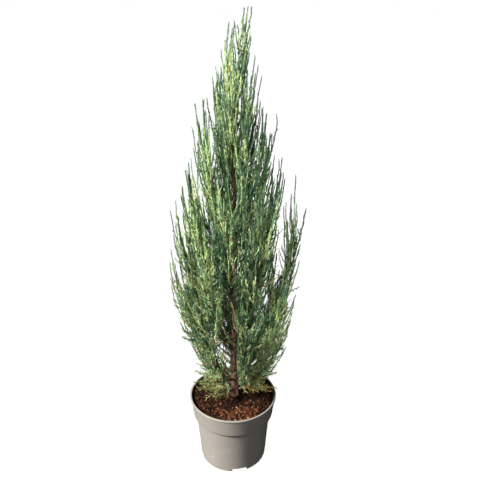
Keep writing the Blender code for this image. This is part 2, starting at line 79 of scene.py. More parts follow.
TIERS = {
    "skirt": dict(count=6, feet=(0.180, 0.216), tips=0.462, out=0.104, swing=(0.068, 0.030), bearing=170,
                  bough=0.0034, stem=0.0024, twigs=5, fork=(36, 0.50), spray=(0.098, 0.0165)),
    "lower": dict(count=6, feet=(0.258, 0.306), tips=0.600, out=0.104, swing=(0.060, 0.050), bearing=349,
                  bough=0.0030, stem=0.0023, twigs=5, fork=(32, 0.60), spray=(0.106, 0.0165)),
    "middle": dict(count=5, feet=(0.366, 0.412), tips=0.690, out=0.084, swing=(0.045, 0.055), bearing=51,
                   bough=0.0025, stem=0.0020, twigs=4, fork=(32, 0.70), spray=(0.110, 0.0160)),
    "upper": dict(count=5, feet=(0.475, 0.540), tips=0.790, out=0.058, swing=(0.030, 0.055), bearing=284,
                  bough=0.0, stem=0.0018, twigs=4, fork=(30, 0.70), spray=(0.104, 0.0150)),
    "crown": dict(count=5, feet=(0.605, 0.695), tips=0.880, out=0.033, swing=(0.018, 0.045), bearing=188,
                  bough=0.0, stem=0.0014, twigs=3, fork=(26, 0.70), spray=(0.084, 0.0115)),
    "top": dict(count=3, feet=(0.775, 0.820), tips=0.938, out=0.019, swing=(0.008, 0.030), bearing=196,
                bough=0.0, stem=0.0011, twigs=1, fork=(22, 0.70), spray=(0.056, 0.0075)),
}
TIP_VARIES = 0.025
BEARING_VARIES = 16
SHOULDER = (0.55, 0.90)
BOUGH_SHARE = 0.27
STANDING_OUT = {
    "plume_lower_1": (0.137, 0.613), "plume_lower_4": (0.104, 0.589),
    "plume_middle_1": (0.106, 0.725), "plume_middle_3": (0.093, 0.690),
    "plume_upper_1": (0.057, 0.806), "plume_upper_4": (0.095, 0.800),
    "plume_crown_1": (0.033, 0.861), "plume_top_1": (0.027, 0.960),
}
THICK_BOUGHS = {"plume_skirt_1": 0.0047}
SPRIGS = ((346, 0.094, 34), (188, 0.108, 36), (238, 0.084, 44), (34, 0.108, 40), (118, 0.092, 38))
SPRIG = dict(foot=0.160, arch=0.004, stem=0.0017, twigs=3, fork=(40, 0.2), spray=(0.054, 0.0105))
LEADER = dict(twigs=2, fork=(16, 0.5), spray=(0.042, 0.0055))
GOLDEN_ANGLE = 137.5
TWIG_LENGTH = 0.42
TWIG_FREE = (0.010, 0.020)
TIP_SPRAY_LENGTH = 0.8
LINE_POINTS = 25

# The twigs go on from the source's rule to whips, branchlets along them, and scaly cords or needles on those.
# whips: how many for each twig of the source. upright: how much nearer to upright they end than its sprays.
# branchlet: the greatest length. woody: the share of a whip that is brown, at its foot. prickly: the share of
# branchlets with needles. low: how many short low twigs.
GROWTH = {
    "skirt": dict(whips=7.2, upright=0.40, branchlet=0.044, woody=0.30, prickly=0.30, low=32),
    "lower": dict(whips=7.2, upright=0.50, branchlet=0.046, woody=0.30, prickly=0.06, low=20),
    "middle": dict(whips=7.6, upright=0.50, branchlet=0.042, woody=0.20, prickly=0.0, low=0),
    "upper": dict(whips=6.8, upright=0.35, branchlet=0.034, woody=0.18, prickly=0.0, low=0),
    "crown": dict(whips=6.0, upright=0.15, branchlet=0.024, woody=0.14, prickly=0.0, low=0),
    "top": dict(whips=8.0, upright=0.10, branchlet=0.016, woody=0.12, prickly=0.0, low=0),
    "leader": dict(whips=0, upright=0.0, branchlet=0.010, woody=0.04, prickly=0.0, low=0),
    "sprig": dict(whips=2.0, upright=0.0, branchlet=0.026, woody=0.30, prickly=1.0, low=3),
}
WHIP_SIZE = (0.75, 1.25)  # of the source's spray, by chance
WHIP_POINTS = 14
WHIP_RADIUS = (0.00130, 0.00085)
WHIP_SWAY = 0.003
WHIP_KINKS = 0.0007
WHIP_BEND = 0.75  # of the way to a whip's elbow: it heads straight for there
WHIP_LEAD = 0.35  # of its length: how steadily it rises from its elbow
WHIP_WAIST = 0.85  # of its radius at the foot: where its brown foot ends and its green starts
WHIP_TIP = dict(shares=(0.735, 0.745, 0.80, 0.88, 0.97, 1.0), thick=1.1, darker=2)
FIRST_WHIP = 0.12  # of a limb with a bough
LAST_WHIP_SIZE = 0.85  # of the first one's
AXIS_FROM = 0.34  # of a limb: from there its own stem is green and dressed as a whip
# The forks of the leader: where each leaves it, the way that it first heads, and its tip
LEADER_FORKS = (
    (0.00, (0.9, -0.1, 1.0), (0.0317, -0.001, 0.964)), (0.34, (0.7, 0.1, 1.0), (0.0345, 0.006, 0.984)),
    (0.30, (-0.4, 0.0, 1.0), (0.0225, 0.000, 0.9835)), (0.04, (-1.0, 0.3, 1.0), (0.0060, 0.005, 0.962)),
    (0.10, (-0.2, 0.9, 1.0), (0.0190, 0.014, 0.966)), (0.00, (0.2, -0.9, 1.0), (0.0230, -0.013, 0.958)),
)
# Whips out to the crown's furthest tips: the plume that each is on, the share of it where it leaves, its tip
EDGE_WHIPS = {
    "plume_skirt_1": (
        (0.36, (-0.1105, 0.020, 0.336)), (0.42, (-0.1240, 0.000, 0.437)), (0.50, (-0.1220, -0.030, 0.508)),
        (0.60, (-0.1220, 0.000, 0.524)), (0.46, (-0.1180, 0.020, 0.480)), (0.54, (-0.1100, -0.045, 0.490)),
    ),
    "plume_lower_4": (
        (0.54, (-0.1130, -0.020, 0.565)), (0.64, (-0.1100, 0.020, 0.619)), (0.48, (-0.1120, 0.010, 0.545)),
        (0.58, (-0.1060, -0.040, 0.600)),
    ),
    "plume_skirt_4": (
        (0.30, (0.1060, -0.030, 0.300)), (0.38, (0.1170, 0.000, 0.322)), (0.44, (0.1180, -0.030, 0.374)),
        (0.52, (0.1270, 0.000, 0.403)),
    ),
    "plume_lower_1": ((0.64, (0.1240, 0.030, 0.670)),),
    "plume_middle_5": ((0.60, (0.0920, -0.020, 0.693)),),
    "plume_upper_2": ((0.50, (0.0847, 0.020, 0.792)),),
}
# How many whips a plume that is fuller or more open than its tier has, of its tier's
FULLNESS = {"plume_top_1": 2.0, "plume_crown_1": 1.2, "plume_upper_2": 0.60, "plume_middle_1": 0.65,
            "plume_upper_4": 0.70, "plume_crown_3": 0.75, "plume_lower_1": 0.60, "sprig_1": 0.5}
# Low twigs: the stretch of a limb that they are on, as shares, and how much they rise
LOW_TWIGS = {"from": 0.12, "thick_from": 0.32, "to": 0.66, "length": (0.030, 0.064), "angle": 52,
             "steepest": 0.35, "rise": (0.1, 0.6), "bends": (0.35, 0.65), "drier": 0.03}
# Whips on the trunk itself, and the branchlets on them
SHOOTS = (
    (dict(count=66, feet=(0.250, 0.820), length=(0.065, 0.120), angle=34, upright=0.82),
     dict(length=0.034, woody=0.30, prickly=0.15, dry=0.03, olive=0.05)),
    (dict(count=44, feet=(0.172, 0.300), length=(0.050, 0.090), angle=58, upright=0.50),
     dict(length=0.020, woody=0.55, prickly=0.80, dry=0.12, olive=0.50)),
)
TRIED_TURNS = range(0, 360, 45)
MINGLE = 0.006  # how far the whips of neighbouring plumes mix
LIMB_MARGIN = 0.0014
# Along a whip: where the branchlets start and end, their spacing and their angle
BRANCHLETS = {"from": 0.05, "to": 0.76, "step": 0.0108, "angle": 20}
LOW_BRANCHLETS = {"from": 0.16, "to": 0.95, "step": 0.0062, "angle": 40, "length": 0.014, "woody": 0.40,
                  "prickly": 1.0, "olive": 0.45}
BRANCHLET_KNOTS = (0.0, 0.02, 0.36, 0.70, 1.0)
BRANCHLET_RADII = (0.00095, 0.00092, 0.00080)
# How much they vary: their places, as shares, their sizes, their turns in radians and their angles in degrees
BRANCHLETS_VARY = dict(place=0.008, size=(0.55, 1.15), turn=0.5, angle=5)
SMALLEST_BRANCHLET = 0.12  # of the largest on its whip
BRANCHLET_TAPER = 0.75
# Cords and needles: their spacing, lengths, thickness and angle, the most on one branchlet or whip, the share
# of it where they start, and how many colours darker they are at a whip's tip
CORDS = dict(step=0.0034, length=(0.0036, 0.0064), radius=0.00090, angle=29, most=14, first=0.08,
             dark_tip=0.0)
WHIP_CORDS = dict(step=0.0027, length=(0.0028, 0.0074), radius=0.00095, angle=26, most=70, first=0.26,
                  dark_tip=2.0)
NEEDLES = dict(step=0.0025, length=(0.0050, 0.0085), radius=0.00056, angle=48, most=14, first=0.05,
               flatness=0.55)
SPRIG_NEEDLES = dict(step=0.0055, length=(0.0080, 0.0140), radius=0.00070, angle=44, most=24, first=0.05,
                     flatness=0.60)
CORD_TONES = (0.15, 0.50)  # how many colours lighter than its whip or branchlet a cord is, and its variation
CORD_PARTS = (0.42, 0.58)  # of its length, before and after its knee
CORD_TAPER = (1.12, 0.5)  # its length at the foot of what it is on, and how much less at the tip
DARK_TIP = (0.62, 0.20)  # the share of a whip where its cords start to darken, and over how much they do
NEEDLE_BASE = 0.35
GREEN_STEM = dict(start=0.64, radii=(0.0011, 0.0008))  # the upper part of a plume's own stem
BROWN_STEM = dict(end=0.66, radius=0.00095)
# The gaps in front of the trunk, that show it: half the width, the heights at the trunk, and the rise
FRONT_GAPS = (dict(half=0.0050, heights=(0.150, 0.325), rise=0.72),
              dict(half=0.0024, heights=(0.600, 0.690), rise=0.45))

# The greens, from the shaded blue-green to the fresh yellow-green, as linear colours
GREENS = {
    "deep": (0.034, 0.074, 0.026),
    "blue": (0.074, 0.144, 0.090),
    "mid": (0.152, 0.268, 0.115),
    "light": (0.350, 0.480, 0.245),
    "yellow": (0.430, 0.545, 0.215),
}
LEAF_COLOURS = {**GREENS, "dry": (0.380, 0.275, 0.095), "olive": (0.240, 0.240, 0.092)}
COLOUR_NAMES = list(LEAF_COLOURS)
DRY_NUMBER = len(GREENS)
OLIVE_NUMBER = DRY_NUMBER + 1
GREEN_STEPS = (0.18, 0.38, 0.62, 0.86)
# In the tone, inner darkens the whips near the trunk, inside the crown, as painted shade, and side lightens
# those towards the key light as painted light
TONE = dict(middle=0.47, plume=0.08, whip=0.30, branchlet=0.19, side=0.16, inner=-0.40, inner_to=0.6,
            cords=0.06, tip=0.30)
# What it adds to the tone of a plume: fresher growth on the leader and plume_top_1; painted light on
# plume_skirt_4, plume_lower_1 and the sprigs, lighter where the crown's shade falls on them; painted shade on
# plume_skirt_2 and plume_skirt_3, darker in the gaps between the plumes
FRESHNESS_AND_PAINTED_LIGHT = {"leader": 0.15, "plume_top_1": 0.30, "plume_skirt_2": -0.10, "plume_skirt_3": -0.20,
             "plume_skirt_4": 0.55, "plume_lower_1": 0.30, "sprig_2": 0.25, "sprig_3": 0.20, "sprig_4": 0.55,
             "sprig_5": 0.30}
SHOOT_TONE = 0.20
TONE_BY_HEIGHT = ((0.3, 0.6, 0.95), (-0.06, 0.0, 0.18))
KEY_LIGHT_SIDE = 200  # the bearing of the key light, towards which the plumes are painted lighter and yellower: painted light
DRY_SPRIG = "sprig_1"
DRY_SHARE = {DRY_SPRIG: 0.85, "skirt": 0.04, "sprig": 0.08, "others": 0.008}
OLIVE_SHARE = {"skirt": 0.12, "lower": 0.03, "sprig": 0.65}
# How much of the source's trunk, and of its flare, the bark's lowest places fill
BARK_GIRTH = (0.92, 0.40)
MOST_RELIEF = 0.0011
TRUNK_RINGS = 360
LARGEST_PIECE = 190000


def lerp(a, b, t):
    return a + (b - a) * t


def trunk_point(height):
    """The middle of the trunk at a height, on a smooth line through TRUNK_LINE."""
    for low, high in zip(TRUNK_LINE, TRUNK_LINE[1:]):
        if height <= high[0] or high is TRUNK_LINE[-1]:
            t = (height - low[0]) / (high[0] - low[0])
            ease = t * t * (3 - 2 * t) if 0 < t < 1 else t
            return Vector((lerp(low[1], high[1], ease), lerp(low[2], high[2], ease), height))


def crown_middle(height):
    """The middle of the crown at a height."""
    lean = max(0.0, (height - CROWN_LEANS_FROM) / (PLANT_TOP - CROWN_LEANS_FROM))
    x, y = (lerp(low, top, lean) for low, top in zip(CROWN_MIDDLE, LEADER_TIP))
    return Vector((x, y, height))


def trunk_radius(height):
    up = min(1.0, (height - SOIL_TOP) / (TRUNK_TOP - SOIL_TOP))
    flare = FLARE * math.exp(-(height - SOIL_TOP) / FLARE_HEIGHT)
    return lerp(TRUNK_RADIUS, TRUNK_TIP_RADIUS, up ** 0.9) + flare


def outward(bearing):
    return Vector((math.cos(math.radians(bearing)), math.sin(math.radians(bearing)), 0))


def bezier(a, b, c, d, count):
    """Points along a curve that leaves a towards b and reaches d from c."""
    shares = [i / (count - 1) for i in range(count)]
    return [a * (1 - t) ** 3 + b * 3 * (1 - t) ** 2 * t + c * 3 * (1 - t) * t ** 2 + d * t ** 3
            for t in shares]


class Limb:
    """A bough with the plume on it, or a plume alone: one line from the trunk's middle to the plume's tip."""

    def __init__(self, name, tier, line, bough, stem, size):
        self.name, self.tier, self.line, self.bough, self.stem = name, tier, line, bough, stem
        self.twigs, self.fork, self.spray = size["twigs"], size["fork"], size["spray"]
        steps = [(b - a).length for a, b in zip(line, line[1:])]
        self.length = sum(steps)
        self.reach = [0.0]
        for step in steps:
            self.reach.append(self.reach[-1] + step)
        self.stem_start = BOUGH_SHARE * self.length if bough else 0.0
        self.stem_end = self.length - TIP_SPRAY_LENGTH * self.spray[0]

    def at(self, distance):
        """The point and the direction at a distance along the line."""
        for i in range(1, len(self.line)):
            if distance <= self.reach[i] or i == len(self.line) - 1:
                a, b = self.line[i - 1], self.line[i]
                t = (distance - self.reach[i - 1]) / (self.reach[i] - self.reach[i - 1])
                return a.lerp(b, t), (b - a).normalized()

    def stretch(self, start, end, count):
        return [self.at(lerp(start, end, i / (count - 1)))[0] for i in range(count)]


def plan_limbs(dice):
    """Every limb's line, tier by tier, then the leader and the sprigs round the foot."""
    limbs = []
    for tier, size in TIERS.items():
        for i in range(size["count"]):
            name = f"plume_{tier}_{i + 1}"
            share = (i * 2 % size["count"]) / size["count"]
            foot = trunk_point(lerp(*size["feet"], share))
            bearing = size["bearing"] + 360 * i / size["count"] + dice.uniform(-1, 1) * BEARING_VARIES
            tip_height = size["tips"] + dice.uniform(-1, 1) * TIP_VARIES
            out = size["out"] * dice.uniform(0.95, 1.05)
            out, tip_height = STANDING_OUT.get(name, (out, tip_height))
            way = outward(bearing)
            tip = crown_middle(tip_height) + way * out
            swing, lift = size["swing"]
            knee = foot + way * swing + UP * lift
            shoulder = crown_middle(lerp(knee.z, tip_height, SHOULDER[0])) + way * out * SHOULDER[1]
            line = bezier(foot, knee, shoulder, tip, LINE_POINTS)
            thick = THICK_BOUGHS.get(name, size["bough"])
            limbs.append(Limb(name, tier, line, thick, size["stem"], size))
    trunk_tip = trunk_point(TRUNK_TOP) + UP * CLEARANCE
    leader_tip = Vector((*LEADER_TIP, PLANT_TOP))
    halfway = trunk_tip.lerp(leader_tip, 0.5)
    line = bezier(trunk_tip, halfway, halfway, leader_tip, LINE_POINTS)
    limbs.append(Limb("leader", "leader", line, 0.0, TRUNK_TIP_RADIUS, LEADER))
    for i, (bearing, length, slope) in enumerate(SPRIGS):
        foot = trunk_point(SPRIG["foot"])
        way = outward(bearing)
        rise = math.radians(slope)
        tip = foot + way * length * math.cos(rise) + UP * length * math.sin(rise)
        bend = foot.lerp(tip, 0.5) + UP * SPRIG["arch"]
        line = bezier(foot, bend, bend, tip, LINE_POINTS)
        limbs.append(Limb(f"sprig_{i + 1}", "sprig", line, 0.0, SPRIG["stem"], SPRIG))
    return limbs


# Meshes

class Heap:
    """Triangles gathered for one kind and colour of thing."""

    def __init__(self):
        self.vertices, self.triangles, self.count = [], [], 0

    def add(self, vertices, triangles):
        self.vertices.append(vertices)
        self.triangles.append(triangles + self.count)
        self.count += len(vertices)


def line_array(points):
    return np.array([list(point) for point in points])


def unit(vectors):
    return vectors / np.linalg.norm(vectors, axis=-1, keepdims=True)


def square_to(along, turn):
    """Directions square to others, each turned round its own by an angle in radians."""
    first = unit(np.cross(along, (0.2, 1.0, 0.3)))
    second = np.cross(along, first)
    return first * np.cos(turn)[..., None] + second * np.sin(turn)[..., None]


def cords(heap, points, radii, sides=3, flatness=1.0, turn=0.0):
    """Adds closed cords: points is cords x stations x 3, and radii is for the stations between the ends."""
    count, stations, _ = points.shape
    rings = stations - 2
    along = unit(points[:, 2:] - points[:, :-2])
    across = square_to(along, np.full(along.shape[:2], turn))
    normal = np.cross(along, across)
    angles = np.arange(sides) * math.tau / sides
    spread = (np.cos(angles)[:, None] * across[:, :, None]
              + flatness * np.sin(angles)[:, None] * normal[:, :, None])
    ring_points = points[:, 1:-1, None] + spread * np.broadcast_to(radii, (count, rings))[..., None, None]
    vertices = np.concatenate(
        [points[:, :1], ring_points.reshape(count, rings * sides, 3), points[:, -1:]], axis=1)
    ring = np.arange(sides)
    after = (ring + 1) % sides
    last = 1 + rings * sides
    faces = [np.stack([np.zeros_like(ring), 1 + after, 1 + ring], axis=1)]
    for i in range(rings - 1):
        low, high = 1 + i * sides, 1 + (i + 1) * sides
        faces.append(np.stack([low + ring, low + after, high + after], axis=1))
        faces.append(np.stack([low + ring, high + after, high + ring], axis=1))
    top = last - sides
    faces.append(np.stack([top + ring, top + after, np.full_like(ring, last)], axis=1))
    template = np.concatenate(faces)
    offsets = np.arange(count)[:, None, None] * vertices.shape[1]
    heap.add(vertices.reshape(-1, 3), (template[None] + offsets).reshape(-1, 3))


def triangle_mesh(name, vertices, triangles):
    """A smooth-shaded mesh from arrays."""
    mesh = bpy.data.meshes.new(name)
    mesh.vertices.add(len(vertices))
    mesh.vertices.foreach_set("co", vertices.astype(np.float32).ravel())
    mesh.loops.add(triangles.size)
    mesh.loops.foreach_set("vertex_index", triangles.astype(np.int32).ravel())
    mesh.polygons.add(len(triangles))
    mesh.polygons.foreach_set("loop_start", np.arange(0, triangles.size, 3, dtype=np.int32))
    mesh.update(calc_edges=True)
    mesh.shade_smooth()
    return mesh


def add_piece(name, mesh, material, nodes):
    """Adds a piece that rides on the plant and stands for the CAD nodes it is named with."""
    piece = bpy.data.objects.new(name, mesh)
    bpy.context.scene.collection.objects.link(piece)
    mesh.materials.append(material)
    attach(piece, "root")
    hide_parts(*nodes)
    return piece


def add_pieces(name, heap, material, nodes):
    """Adds a heap as pieces that are each under LARGEST_PIECE triangles, and returns them."""
    batches, size = [[]], 0
    for vertices, triangles in zip(heap.vertices, heap.triangles):
        if batches[-1] and size + len(triangles) > LARGEST_PIECE:
            batches.append([])
            size = 0
        batches[-1].append((vertices, triangles))
        size += len(triangles)
    pieces = []
    for i, batch in enumerate(batches):
        vertices = np.concatenate([part[0] for part in batch])
        first = min(part[1].min() for part in batch)
        triangles = np.concatenate([part[1] for part in batch]) - first
        piece_name = name if len(batches) == 1 else f"{name}_{i + 1}"
        mesh = triangle_mesh(piece_name, vertices, triangles)
        pieces.append(add_piece(piece_name, mesh, material, nodes))
    return pieces


# Growth

class Space:
    """Tells whether whips keep to their plume's space and clear of the trunk, the gaps and the ground."""

    def __init__(self, limbs):
        lines = np.array([line_array(limb.line) for limb in limbs])
        self.starts = lines[:, :-1].reshape(-1, 3)
        self.steps = (lines[:, 1:] - lines[:, :-1]).reshape(-1, 3)
        self.limb_count = len(limbs)
        heights = np.linspace(SOIL_TOP, TRUNK_TOP, LINE_POINTS * 2)
        self.trunk = line_array(trunk_point(height) for height in heights)
        self.trunk_radii = np.array([trunk_radius(height) for height in heights])

    def gaps(self, points):
        """From each point to each limb's line."""
        apart = points[:, None] - self.starts
        t = np.clip((apart * self.steps).sum(axis=2) / (self.steps ** 2).sum(axis=1), 0, 1)
        gaps = np.linalg.norm(apart - t[..., None] * self.steps, axis=2)
        return gaps.reshape(len(points), self.limb_count, -1).min(axis=2)

    def inside(self, points):
        """Which points are within the crown, above the ground and clear of the trunk and the gaps."""
        heights = points[:, 2]
        lean = np.clip((heights - CROWN_LEANS_FROM) / (PLANT_TOP - CROWN_LEANS_FROM), 0, None)
        middle = np.array(CROWN_MIDDLE) + lean[:, None] * (np.array(LEADER_TIP) - np.array(CROWN_MIDDLE))
        from_middle = np.hypot(*(points[:, :2] - middle).T)
        within = from_middle < np.interp(heights, *np.array(CROWN_OUTLINE).T)
        from_axis = np.hypot(points[:, 0], points[:, 1])
        ground = np.where(from_axis > BODY_TOP[0], POT_HEIGHT, SOIL_TOP + LIP)
        within &= (heights > ground + LIMB_MARGIN) & (heights < PLANT_TOP)
        trunk_x = np.interp(heights, self.trunk[:, 2], self.trunk[:, 0])
        trunk_y = np.interp(heights, self.trunk[:, 2], self.trunk[:, 1])
        thickness = np.interp(heights, self.trunk[:, 2], self.trunk_radii)
        from_trunk = np.hypot(points[:, 0] - trunk_x, points[:, 1] - trunk_y)
        within &= (from_trunk > thickness + LIMB_MARGIN) | (heights > TRUNK_TOP)
        in_front = trunk_y - points[:, 1]
        for gap in FRONT_GAPS:
            behind = heights - in_front * gap["rise"]
            shown = (behind > gap["heights"][0]) & (behind < gap["heights"][1])
            within &= ~(shown & (in_front > 0) & (np.abs(points[:, 0] - trunk_x) < gap["half"]))
        return within

    def has_room(self, index, paths):
        """Which paths, each tried x stations x 3, keep to the space of the limb with that index."""
        tried, stations, _ = paths.shape
        points = paths.reshape(-1, 3)
        free = self.inside(points)
        if index is not None:
            gaps = self.gaps(points)
            own = gaps[:, index].copy()
            gaps[:, index] = np.inf
            free &= own < gaps.min(axis=1) + MINGLE
        return free.reshape(tried, stations).all(axis=1)

    def first_free(self, tried, index, clear_from):
        """The first path with room for it from a station on, as a list of one or none."""
        free = self.has_room(index, tried[:, clear_from:])
        return [tried[free.argmax()]] if free.any() else []


class Crown:
    """The crown as it grows: the space that it has, its heaps by kind and colour, and its random draws."""

    def __init__(self, limbs):
        self.space = Space(limbs)
        self.heaps = {}
        self.chance = np.random.default_rng(11)

    def heap(self, kind, colour):
        return self.heaps.setdefault((kind, colour), Heap())

    def deal(self, kind, colours, points, radii, **shape):
        """Adds cords to the heap of each one's colour."""
        for number in np.unique(colours):
            cords(self.heap(kind, COLOUR_NAMES[number]), points[colours == number], radii, **shape)


def curved(foot, bend, lead, tip):
    """A smooth path as an array of stations."""
    shares = np.linspace(0, 1, WHIP_POINTS)[:, None]
    return (foot * (1 - shares) ** 3 + bend * 3 * (1 - shares) ** 2 * shares
            + lead * 3 * (1 - shares) * shares ** 2 + tip * shares ** 3)


def risen(foot, way, rise, size, sway=0.0):
    """A path that leaves its foot one way, bends at its elbow and goes on another."""
    reach = way * size * TWIG_LENGTH
    elbow = foot + reach
    return curved(foot, foot + reach * WHIP_BEND, elbow + rise * size * WHIP_LEAD + sway, elbow + rise * size)


def fork_path(limb, share, way, tip):
    """A whip from a share of a limb to a set tip, that first heads the given way."""
    foot, tip = np.array(limb.at(limb.length * share)[0]), np.array(tip)
    long = np.linalg.norm(tip - foot)
    return curved(foot, foot + unit(np.array(way)) * long * 0.35, tip - np.array(UP) * long * 0.3, tip)


def edge_path(limb, share, tip):
    """A whip from a share of a limb to a set tip, that heads outwards before it turns up."""
    foot = np.array(limb.at(limb.length * share)[0])
    return fork_path(limb, share, (np.array(tip) - foot) * (2, 2, 1), tip)


def sides_of(along, turn):
    """Directions square to another, one for each turn that is tried."""
    turns = np.radians(turn + np.array(TRIED_TURNS))
    return square_to(np.repeat(along[None], len(turns), axis=0), turns)


def whip_paths(limb, index, crown):
    """The whips of a plume, as whips x stations x 3: the source's twigs and sprays, but more of them."""
    growth = GROWTH[limb.tier]
    paths = [line_array(limb.stretch(start, limb.length, WHIP_POINTS))
             for start in (limb.length * AXIS_FROM, limb.stem_end)]
    if limb.tier == "leader":
        return np.array(paths[1:] + [fork_path(limb, *fork) for fork in LEADER_FORKS])
    first_twig = limb.length * FIRST_WHIP if limb.bough else TWIG_FREE[1]
    paths += [edge_path(limb, *route) for route in EDGE_WHIPS.get(limb.name, ())]
    count = round(limb.twigs * growth["whips"] * FULLNESS.get(limb.name, 1.0))
    angle, upright = math.radians(limb.fork[0]), lerp(limb.fork[1], 1.0, growth["upright"])
    turn = crown.chance.uniform(0, 360)
    for i in range(count):
        share = (i + 0.3) / count
        foot, along = (np.array(value) for value in limb.at(lerp(first_twig, limb.stem_end, share)))
        size = limb.spray[0] * crown.chance.uniform(*WHIP_SIZE) * lerp(1.0, LAST_WHIP_SIZE, share)
        turn += GOLDEN_ANGLE
        leaving = along * math.cos(angle) + sides_of(along, turn) * math.sin(angle)
        rising = unit(leaving + (np.array(UP) - leaving) * upright)
        sway = crown.chance.normal(0, WHIP_SWAY, 3)
        tried = [risen(foot, way, rise, size, sway) for way, rise in zip(leaving, rising)]
        paths += crown.space.first_free(np.array(tried), index, 3)
    return np.array(paths)


def low_twig_paths(limb, index, crown):
    """Short twigs that spread out from a bough or a low stem, to the sides and downwards."""
    chance = crown.chance
    paths = []
    angle = math.radians(LOW_TWIGS["angle"])
    first = LOW_TWIGS["thick_from"] if limb.name in THICK_BOUGHS else LOW_TWIGS["from"]
    for i in range(GROWTH[limb.tier]["low"]):
        place = limb.at(limb.length * lerp(first, LOW_TWIGS["to"], chance.random()))
        foot, along = (np.array(value) for value in place)
        length = chance.uniform(*LOW_TWIGS["length"])
        sides = sides_of(along, GOLDEN_ANGLE * i)
        sides = sides[np.argsort(sides[:, 2] > LOW_TWIGS["steepest"], kind="stable")]
        leaving = along * math.cos(angle) + sides * math.sin(angle)
        rising = unit(leaving + np.array(UP) * chance.uniform(*LOW_TWIGS["rise"]))
        bends = LOW_TWIGS["bends"]
        tried = [curved(foot, foot + way * length * bends[0], foot + way * length * bends[1],
                        foot + (way + rise) * length / 2) for way, rise in zip(leaving, rising)]
        paths += crown.space.first_free(np.array(tried), index, 4)
    return np.array(paths).reshape(-1, WHIP_POINTS, 3)


def shoot_paths(rule, crown):
    """Whips that grow on the trunk itself and fill the crown's middle."""
    paths = []
    angle = math.radians(rule["angle"])
    for i in range(rule["count"]):
        height = lerp(*rule["feet"], (i + crown.chance.random()) / rule["count"])
        foot = trunk_point(height)
        along = (trunk_point(height + 0.01) - foot).normalized()
        way = np.array(along * math.cos(angle) + outward(GOLDEN_ANGLE * i) * math.sin(angle))
        rise = unit(way + (np.array(UP) - way) * rule["upright"])
        path = risen(np.array(foot), way, rise, crown.chance.uniform(*rule["length"]))
        paths += crown.space.first_free(path[None], None, 5)
    return np.array(paths)


def along_paths(paths, shares, knots=None):
    """Points and directions at shares, 0 to 1, of each path: paths x shares."""
    stations = paths.shape[1]
    knots = np.linspace(0, 1, stations) if knots is None else np.array(knots)
    before = np.clip(np.searchsorted(knots, shares, side="right") - 1, 0, stations - 2)
    t = ((shares - knots[before]) / (knots[before + 1] - knots[before]))[..., None]
    rows = np.arange(len(paths))[:, None]
    start, end = paths[rows, before], paths[rows, before + 1]
    return start + (end - start) * t, unit(end - start)


def stretch_of(paths, shares):
    """The points at the same shares of every path."""
    return along_paths(paths, np.tile(shares, (len(paths), 1)))[0]


def lengths_of(paths):
    return np.linalg.norm(np.diff(paths, axis=1), axis=2).sum(axis=1)


def leaning(ways, turns, angles):
    """Directions that leave others at their angles, each turned round its own, in radians."""
    return ways * np.cos(angles)[:, None] + square_to(ways, turns) * np.sin(angles)[:, None]


def green_of(tone):
    """The number of the green for each tone, from 0, shaded blue-green, to 1, fresh yellow-green."""
    return np.searchsorted(GREEN_STEPS, tone)


def lighter(colours, chance, darkening=0.0):
    """Varies numbers of greens a little, and leaves the others."""
    step = np.rint(chance.normal(*CORD_TONES, len(colours)) - darkening).astype(int)
    return np.where(colours < DRY_NUMBER, np.clip(colours + step, 0, DRY_NUMBER - 1), colours)


def tones(paths, middle, chance):
    """Each whip's tone: lighter towards the key light's side as painted light, fresher towards the top of the
    crown, and darker near the trunk as painted shade.
    """
    tips = paths[:, -1]
    out = np.hypot(tips[:, 0] - CROWN_MIDDLE[0], tips[:, 1] - CROWN_MIDDLE[1])
    bearing = np.arctan2(tips[:, 1] - CROWN_MIDDLE[1], tips[:, 0] - CROWN_MIDDLE[0])
    widest = np.interp(tips[:, 2], *np.array(CROWN_OUTLINE).T)
    # painted shade: whips near the trunk, inside the crown, are darker
    inner = TONE["inner"] * np.clip(1 - out / (TONE["inner_to"] * widest), 0, 1)
    # painted light: whips on the key light's side are lighter and yellower
    painted_light = np.cos(bearing - math.radians(KEY_LIGHT_SIDE)) * TONE["side"] * np.clip(out / widest, 0, 1)
    by_height = np.interp(tips[:, 2], *TONE_BY_HEIGHT)
    return middle + inner + painted_light + by_height + chance.normal(0, TONE["whip"], len(paths))


def grow_plume(limb, index, crown):
    """The whips of a plume and the low twigs under it, dressed."""
    growth = GROWTH[limb.tier]
    # the plume's own tone: fresher growth for some plumes, painted light and painted shade for others
    middle = TONE["middle"] + crown.chance.normal(0, TONE["plume"]) + FRESHNESS_AND_PAINTED_LIGHT.get(limb.name, 0.0)
    dry = DRY_SHARE.get(limb.name, DRY_SHARE.get(limb.tier, DRY_SHARE["others"]))
    style = dict(BRANCHLETS, length=growth["branchlet"], woody=growth["woody"], prickly=growth["prickly"],
                 dry=dry, olive=OLIVE_SHARE.get(limb.tier, 0.0),
                 needles=SPRIG_NEEDLES if limb.tier == "sprig" else NEEDLES)
    paths = whip_paths(limb, index, crown)
    dress_whips(paths, tones(paths, middle, crown.chance), style, crown)
    paths = low_twig_paths(limb, index, crown)
    if len(paths):
        style.update(LOW_BRANCHLETS, dry=dry + LOW_TWIGS["drier"])
        dress_whips(paths, tones(paths, middle, crown.chance), style, crown)


def dress_whips(paths, tone, style, crown):
    """Whips that are kinked a little, with cords or needles on them and branchlets along them."""
    kinks = crown.chance.normal(0, WHIP_KINKS, paths.shape)
    kinks[:, 0] = 0
    paths = paths + kinks
    lengths = lengths_of(paths)
    colours = draw_whips(paths, tone, style, crown)
    if style["prickly"] < 1:
        grow_cords(paths, lengths, green_of(tone + TONE["cords"]), WHIP_CORDS, crown)
    else:
        grow_needles(paths, lengths, colours, style["needles"], crown)
    grow_branchlets(paths, lengths, tone, style, crown)


